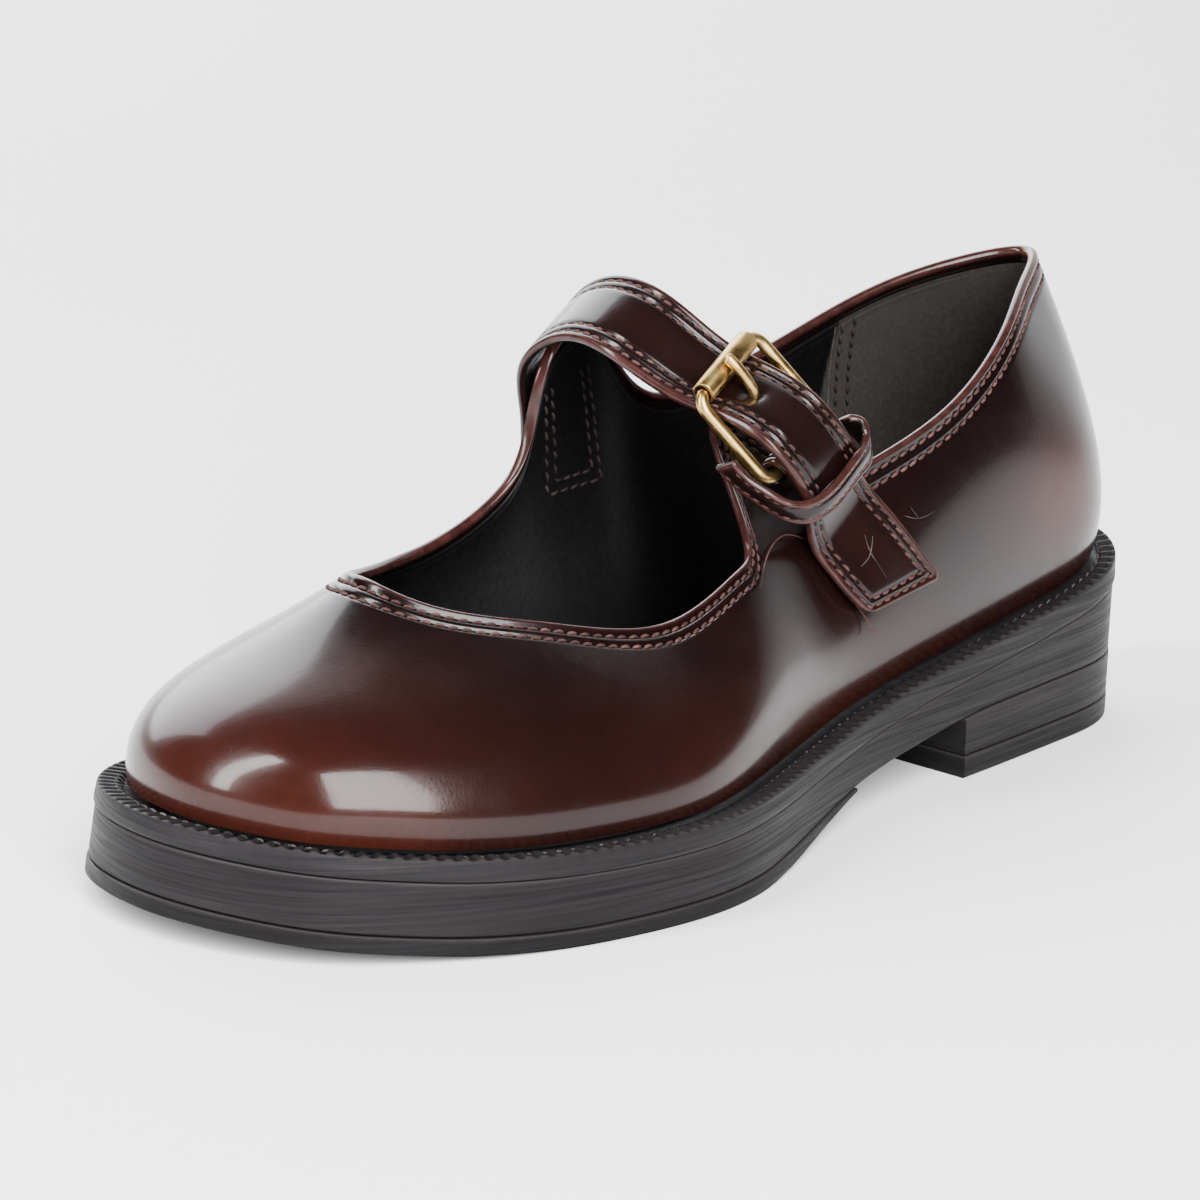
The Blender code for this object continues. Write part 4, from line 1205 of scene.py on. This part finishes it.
def make_keeper(leather, thread):
    rows = np.array([row[1:] for row in STRAP_ROWS], float)
    before = int(KEEPER_AT_ROW) - 1
    share = KEEPER_AT_ROW - 1 - before
    here = rows[before] * (1 - share) + rows[before + 1] * share
    aside = width_way(here[3], here[4])
    down = rows[before + 1, :3] - rows[before, :3]
    down = unit(down - aside * np.dot(down, aside))
    out = np.cross(aside, down)
    out = out if out[1] < 0 else -out
    path = np.array(KEEPER_PATH)
    centres = here[:3] + path[:, :1] * aside + path[:, 1:2] * out + path[:, 2:3] * down
    ways = path[:, 3:4] * out + path[:, 4:5] * down
    widths = np.full(len(path), KEEPER_WIDTH)
    base = KEEPER_THICKNESS / 2
    band = Band(centres, ways, widths, out, KEEPER_THICKNESS, KEEPER_STITCH_ROWS, base)
    add_band("keeper_band", "keeper_loop", band, leather, crown=0.25, corner=0.5, tone=0.16)
    add_stitches("keeper_stitches", band.side_rows(2), KEEPER_STITCH, thread, "strap_leather", seed=4)


def inside_lining(line):
    """A line and its ways out, brought through the leather to the lining's face."""
    faces, outs = np.moveaxis([nearest_on_upper(point) for point in line], 1, 0)
    above = np.sum((line - faces) * outs, axis=1)
    return line - outs * (above + WALL)[:, None], -outs, False


def heel_seam(along):
    """A line down the lining's inner side, from the opening's edge."""
    top = FACE[:, -1]
    column = int(np.argmin(np.abs(top[:, 0] - along) + LENGTH * (top[:, 1] < INNER_SIDE_FROM)))
    rows = (FACE_BELOW[column] > HEEL_SEAM_TOP) & (FACE_BELOW[column] < HEEL_SEAM_FOOT)
    return FACE[column, rows] - FACE_OUT[column, rows] * WALL, -FACE_OUT[column, rows], False


def make_lining_stitches(thread, frayed):
    """The strap's stitches seen inside the wing, and the heel lining's seam with its frayed edge."""
    rows = strap_band().turned_rows(LINING_STITCH_ROWS, SEWN_LENGTH)
    rows = [inside_lining(line[::2]) for line, _, _ in rows]
    rows += [heel_seam(along) for along in HEEL_SEAM_ROWS]
    add_stitches("lining_stitches", rows, LEATHER_STITCH, thread, "insole", seed=6)
    add_stitches("frayed_edge", [heel_seam(HEEL_LINING)], FRAYED_STITCH, frayed, "insole", seed=7)


# ---- Tubes: loose threads, scratches and the buckle
def tube(path, aside, radii, sides=20, closed=False):
    """Points round a path that lies in a plane whose own direction is aside."""
    path = np.asarray(path, float)
    if closed:
        ahead = unit(np.roll(path, -1, axis=0) - np.roll(path, 1, axis=0))
    else:
        ahead = unit(np.gradient(path, axis=0))
    up = unit(np.cross(ahead, aside))
    turns = np.linspace(0, 2 * math.pi, sides, endpoint=False)[None, :, None]
    ring = np.cos(turns) * np.reshape(aside, (1, 1, 3)) + np.sin(turns) * up[:, None, :]
    return path[:, None, :] + ring * np.reshape(radii, (-1, 1, 1))


def add_hairs(name, lines, radius, lift, material):
    """Thin fibres through points on the outer side, lying a little off the leather."""
    away = unit(np.array(HAIR_OUT))
    grids = []
    for line in lines:
        points, knots = along_line(np.array(line))
        fine = spline(knots, points, np.linspace(0, knots[-1], HAIR_RINGS)) + away * lift
        radii = radius * np.sin(np.linspace(0.12, math.pi - 0.12, HAIR_RINGS)) ** 0.5
        grids.append(tube(fine, away, radii, HAIR_SIDES))
    one = grid_faces(HAIR_RINGS, HAIR_SIDES, columns_closed=True)
    faces = np.concatenate([one + number * HAIR_RINGS * HAIR_SIDES for number in range(len(lines))])
    add_piece(name, np.stack(grids), faces, material, "strap_leather")


def make_frame(brass):
    """The buckle's wire, bent round four corners."""
    bar, side, out = buckle_axes()
    path = []
    corners = (
        # sideways, down, degrees at which the bend begins
        (BUCKLE_HALF_WIDTH, 0.0, -90),
        (BUCKLE_HALF_WIDTH, BUCKLE_LENGTH, 0),
        (-BUCKLE_HALF_WIDTH, BUCKLE_LENGTH, 90),
        (-BUCKLE_HALF_WIDTH, 0.0, 180),
    )
    for across, down, first in corners:
        middle_across = across - math.copysign(BUCKLE_CORNER, across)
        middle_down = down + (BUCKLE_CORNER if down == 0.0 else -BUCKLE_CORNER)
        for degrees in range(first, first + 91, BUCKLE_BEND_STEP):
            turn = math.radians(degrees)
            sideways = middle_across + BUCKLE_CORNER * math.cos(turn)
            downwards = middle_down + BUCKLE_CORNER * math.sin(turn)
            path.append(np.array(ROLLER_CENTRE) + bar * sideways + side * downwards)
    points = tube(path, out, BUCKLE_WIRE / 2, closed=True)
    add_ring_piece("frame_wire", points, brass, "buckle_metal", ["buckle_frame"])


def make_roller(brass):
    """The roller, with softened ends."""
    bar, side, out = buckle_axes()
    half = ROLLER_LENGTH / 2
    outer = ROLLER_DIAMETER / 2
    bore = ROLLER_BORE / 2
    rim = ((0.0, 0.3), (0.1, 0.1), (0.3, 0.0))
    profile = [(-half, bore)]
    profile += [(-half + inwards, outer - down) for inwards, down in rim]
    profile += [(half - inwards, outer - down) for inwards, down in reversed(rim)]
    profile.append((half, bore))
    turns = np.linspace(0, 2 * math.pi, ROLLER_SIDES, endpoint=False)[:, None]
    ring = out * np.cos(turns) + side * np.sin(turns)
    points = np.stack([np.array(ROLLER_CENTRE) + bar * place + radius * ring for place, radius in profile])
    add_ring_piece("roller_tube", points, brass, "buckle_metal", ["buckle_roller"], sharp=35)


def make_prong(brass):
    """The prong, which tapers from its tip and has rounded ends."""
    bar, _, _ = buckle_axes()
    path = prong_points()
    _, knots = along_line(path)
    near = np.linspace(0, 1.1, 8)
    places = np.concatenate([near, np.linspace(1.5, knots[-1] - 1.5, 40), knots[-1] - near[::-1]])
    end = np.minimum(places, places[-1] - places)
    radius = PRONG_WIRE / 2
    rounding = np.sqrt(np.clip(1 - np.maximum(1 - end / radius, 0) ** 2, 0.0004, 1))
    radii = radius * rounding * (1.08 - PRONG_TAPER * places / knots[-1])
    points = tube(spline(knots, path, places), bar, radii, PRONG_SIDES)
    faces = grid_faces(*points.shape[:2], columns_closed=True)
    last = (len(places) - 1) * PRONG_SIDES
    caps = [range(PRONG_SIDES), range(last, last + PRONG_SIDES)]
    add_piece("prong_pin", points, faces, brass, "buckle_metal", ["buckle_prong"], caps=caps)


# ---- Sole. Its heights are functions of the place along it.
def level(height):
    return lambda along: np.full_like(along, height)


def shifted(height, by):
    return lambda along: height(along) + by


def outsole_top(along):
    return underside(along) + outsole_thickness(along)


def midsole_bottom(along):
    return outsole_top(along) + GAP * np.clip((along - OUTSOLE_BACK) / WAIST_TAPER + 1, 0, 1)


def welt_bottom(along):
    return welt_top(along) - welt_thickness(along)


midsole_top = shifted(welt_bottom, -GAP)
WELT_INNER_INSET = seat_inset(LOOP[:, 0]) + WALL + WELT_UNDER_WALL


def layer_height(low, high, share, rise):
    """A height at a share of the way from low to high, with a rise that is less where the layer is thin."""

    def height(along):
        bottom = low(along)
        room = np.maximum(high(along) - bottom, 0)
        return bottom + room * share + rise * np.minimum(room / (3 * SOLE_ROUNDING), 1)

    return height


def there_and_back(values):
    return np.concatenate([values, values[::-1]])


def sole_piece(name, node, look, slot, span, low, high, inset=0.0, seam_rows=(), rings=14):
    """A layer of the sole between two heights, over a span along it, with eased edges and seams."""
    steps = [(0, rise, back) for rise, back in EASED_EDGE]
    steps += [(share, 0.0, 0.0) for share in np.linspace(0, 1, rings)[1:-1]]
    steps += [(1, -rise, back) for rise, back in reversed(EASED_EDGE)]
    loops = []
    levels = []
    depths = []
    for share, rise, back in steps:
        height = layer_height(low, high, share, rise)
        along, outer, inner = stations(edge_loop(height, inset + back), *span)
        up = height(along)
        across = np.concatenate([outer, inner[::-1]])
        loops.append(np.column_stack([there_and_back(along), across, there_and_back(up)]))
        levels.append(there_and_back(up))
        depths.append(there_and_back(high(along) - up))
    points = np.stack(loops)
    depth = np.stack(depths)
    seam_and_shade = sum((bump_at(row, SOLE_SEAM_WIDTH, depth) for row in seam_rows), np.zeros(depth.shape))
    count = points.shape[1]
    pairs = np.arange(count // 2 - 1)
    foot = np.stack([pairs, pairs + 1, count - 2 - pairs, count - 1 - pairs], axis=1)
    top = foot + (len(loops) - 1) * count
    faces = np.concatenate([grid_faces(*points.shape[:2], columns_closed=True), foot, top])
    # Painted highlight along the top edge of each layer.
    values = {"level": np.stack(levels), "seam_and_shade": seam_and_shade, "edge_highlight": 0.55 * bump_at(0.15, 0.25, depth)}
    add_piece(name, points, faces, look, slot, [node], sharp=40, **values)


def make_sole(edge, rubber, footbed):
    front = (OUTSOLE_BACK, LENGTH)
    whole = (0, LENGTH)
    heel = (0, HEEL_BREAST)
    heel_low = level(TOP_LIFT + GAP)
    heel_high = shifted(underside, -GAP)
    bed_low = shifted(midsole_top, GAP)
    bed_high = shifted(welt_top, INSOLE_RISE)
    bed_inset = WELT_INNER_INSET + 2 * GAP
    sole_piece("outsole_layer", "outsole", rubber, "outsole", front, underside, outsole_top)
    middle = ("midsole_layer", "midsole", edge, "sole_edge", whole, midsole_bottom, midsole_top)
    sole_piece(*middle, inset=0.25, seam_rows=MIDSOLE_SEAMS, rings=24)
    sole_piece("heel_stack", "heel_block", edge, "sole_edge", heel, heel_low, heel_high, inset=0.1)
    sole_piece("top_lift", "heel_top_lift", rubber, "outsole", heel, level(0), level(TOP_LIFT))
    sole_piece("footbed", "insole", footbed, "insole", whole, bed_low, bed_high, inset=bed_inset)


def welt_places():
    """Even places round the outline, and how far each is through its notch."""
    _, places = along_line(LOOP, closed=True)
    count = int(round(places[-1] / NOTCH_PITCH)) * WELT_PLACES_PER_NOTCH
    index = np.interp(np.arange(count) * places[-1] / count, places, np.arange(len(places)))
    return index, (np.arange(count) % WELT_PLACES_PER_NOTCH) / WELT_PLACES_PER_NOTCH


def make_welt(look, thread):
    """The welt's closed strip with its notches, and the thread that lies between them."""
    index, phase = welt_places()
    outline = round_outline(LOOP, index)
    outward = unit(round_outline(LOOP_OUTWARD, index))
    insets = np.column_stack([seat_inset(LOOP[:, 0]), WELT_INNER_INSET])
    seat, inner = round_outline(insets, index).T
    # Deep in each notch the welt's colour is darkened with painted shade.
    notch = bump_at(0.5, 0.2, phase)
    rings = []
    for inset, way, off, depth in WELT_PROFILE:
        # Painted highlight along the welt's top outer edge, between the notches.
        light = bump_at(0.6, 0.35, inset) * (1 - notch)
        stretch = seat / WELT_SEAT if inset > WELT_FIXED else np.ones(len(index))
        flat = outline - outward * (inset * stretch)[:, None]
        up = (welt_bottom if way == BOTTOM else welt_top)(flat[:, 0]) + way * off
        out_by = flare(flat[:, 0]) * (0.5 - up / welt_top(flat[:, 0]))
        up = up - NOTCH_DEPTH * depth * notch
        rings.append((np.column_stack([flat + outward * out_by[:, None], up]), up, depth * notch, light))
    flat = outline - outward * inner[:, None]
    for way, off in WELT_INSIDE:
        up = (welt_bottom if way == BOTTOM else welt_top)(flat[:, 0]) + way * off
        rings.append((np.column_stack([flat, up]), up, np.zeros(len(index)), np.zeros(len(index))))
    points, height, seam_and_shade, light = (np.stack(part, axis=1) for part in zip(*rings))
    values = {"level": height, "seam_and_shade": seam_and_shade, "edge_highlight": 0.45 * light}
    add_ring_piece("welt_strip", points, look, "welt", ["welt"], sharp=60, **values)
    flat = outline - outward * (seat * WELT_THREAD_SHARE)[:, None]
    line = np.column_stack([flat, welt_top(outline[:, 0]) - WELT_THREAD_DOWN])
    ways = np.repeat([[0.0, 0.0, 1.0]], len(line), axis=0)
    add_stitches("welt_stitches", [(line, ways, True)], WELT_STITCH, thread, "welt", seed=5)


# ---- Studio
def add_to_scene(name, data):
    item = bpy.data.objects.new(name, data)
    bpy.context.scene.collection.objects.link(item)
    return item


def facing(place, target):
    """The turn of a light or camera at a place that looks at a target."""
    return (Vector(target) - Vector(place)).to_track_quat("-Z", "Y")


def make_stage():
    """A pale floor that bends up into a backdrop."""
    look = Look("studio_floor")
    low, high = FLOOR_WHITES
    look.set(
        base_color=look.ramp(look.noise(3, 2, 0.5), (0.3, low), (0.7, high)),
        roughness=look.span(look.noise(5, 2, 0.5), 0.7, 0.8),
    )
    profile = [(-FLOOR_REACH, 0.0), (FLOOR_BACK, 0.0)]
    for turn in np.radians(np.linspace(0, 90, 24))[1:]:
        profile.append((FLOOR_BACK + BACKDROP_BEND * math.sin(turn), BACKDROP_BEND * (1 - math.cos(turn))))
    profile.append((FLOOR_BACK + BACKDROP_BEND, BACKDROP_TOP))
    away = np.array(BACKDROP_WAY)
    aside = np.array([-away[1], away[0]])
    points = []
    for distance, up in profile:
        for sideways in (-FLOOR_REACH, FLOOR_REACH):
            points.append((*(away * distance + aside * sideways), up))
    mesh = bpy.data.meshes.new("studio_floor")
    mesh.from_pydata(points, [], grid_faces(len(profile), 2).tolist())
    mesh.shade_smooth()
    mesh.materials.append(look.material)
    floor = add_to_scene("studio_floor", mesh)


def make_lights():
    for name, place, size, power, colour in LIGHTS:
        light = bpy.data.lights.new(name, "AREA")
        light.shape = "RECTANGLE"
        light.size, light.size_y = size
        light.energy = power
        light.color = colour
        lamp = add_to_scene(name, light)
        lamp.location = place
        lamp.rotation_euler = facing(place, LIGHT_TARGET).to_euler()
    world_look = bpy.data.worlds.new("studio")
    bpy.context.scene.world = world_look
    world_look.use_nodes = True
    background = world_look.node_tree.nodes["Background"]
    background.inputs["Color"].default_value = (1.0, 1.0, 1.0, 1.0)
    background.inputs["Strength"].default_value = WORLD_STRENGTH


def make_camera():
    camera = bpy.data.cameras.new("camera")
    camera.lens = CAMERA_LENS
    camera.sensor_width = CAMERA_SENSOR
    camera.clip_start = 0.05
    holder = add_to_scene("camera", camera)
    roll = Matrix.Rotation(math.radians(CAMERA_ROLL), 3, "Z")
    holder.rotation_euler = (facing(CAMERA_PLACE, CAMERA_TARGET).to_matrix() @ roll).to_euler()
    holder.location = CAMERA_PLACE
    bpy.context.scene.camera = holder


def main():
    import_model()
    upper = polished_leather("upper_leather", *UPPER_BROWNS)
    strap = polished_leather("strap_leather", *STRAP_BROWNS)
    thread = thread_look("brown_thread", *BROWN_THREAD)
    pale_thread = thread_look("welt_thread", *PALE_THREAD)
    rubber = sole_edge_look("outsole_rubber", *OUTSOLE_BLACKS)
    make_sole(sole_edge_look("stacked_edge", *STACK_BLACKS), rubber, footbed_look())
    make_welt(sole_edge_look("welt_edge", *WELT_BLACKS), pale_thread)
    make_upper(upper)
    make_lining(lining_look())
    lines = [face_line(row) for row in TOP_ROWS]
    add_stitches("topline_stitches", lines, LEATHER_STITCH, thread, "upper_leather", seed=1)
    make_strap(strap, thread)
    make_chape(strap, thread)
    make_keeper(strap, thread)
    make_lining_stitches(thread_look("dark_thread", *DARK_THREAD), pale_thread)
    add_hairs("loose_threads", LOOSE_THREADS, 0.17, 0.45, thread)
    add_hairs("scratches", SCRATCHES, 0.12, 0.12, pale_thread)
    brass = brass_look()
    make_frame(brass)
    make_roller(brass)
    make_prong(brass)
    make_stage()
    make_lights()
    make_camera()


main()
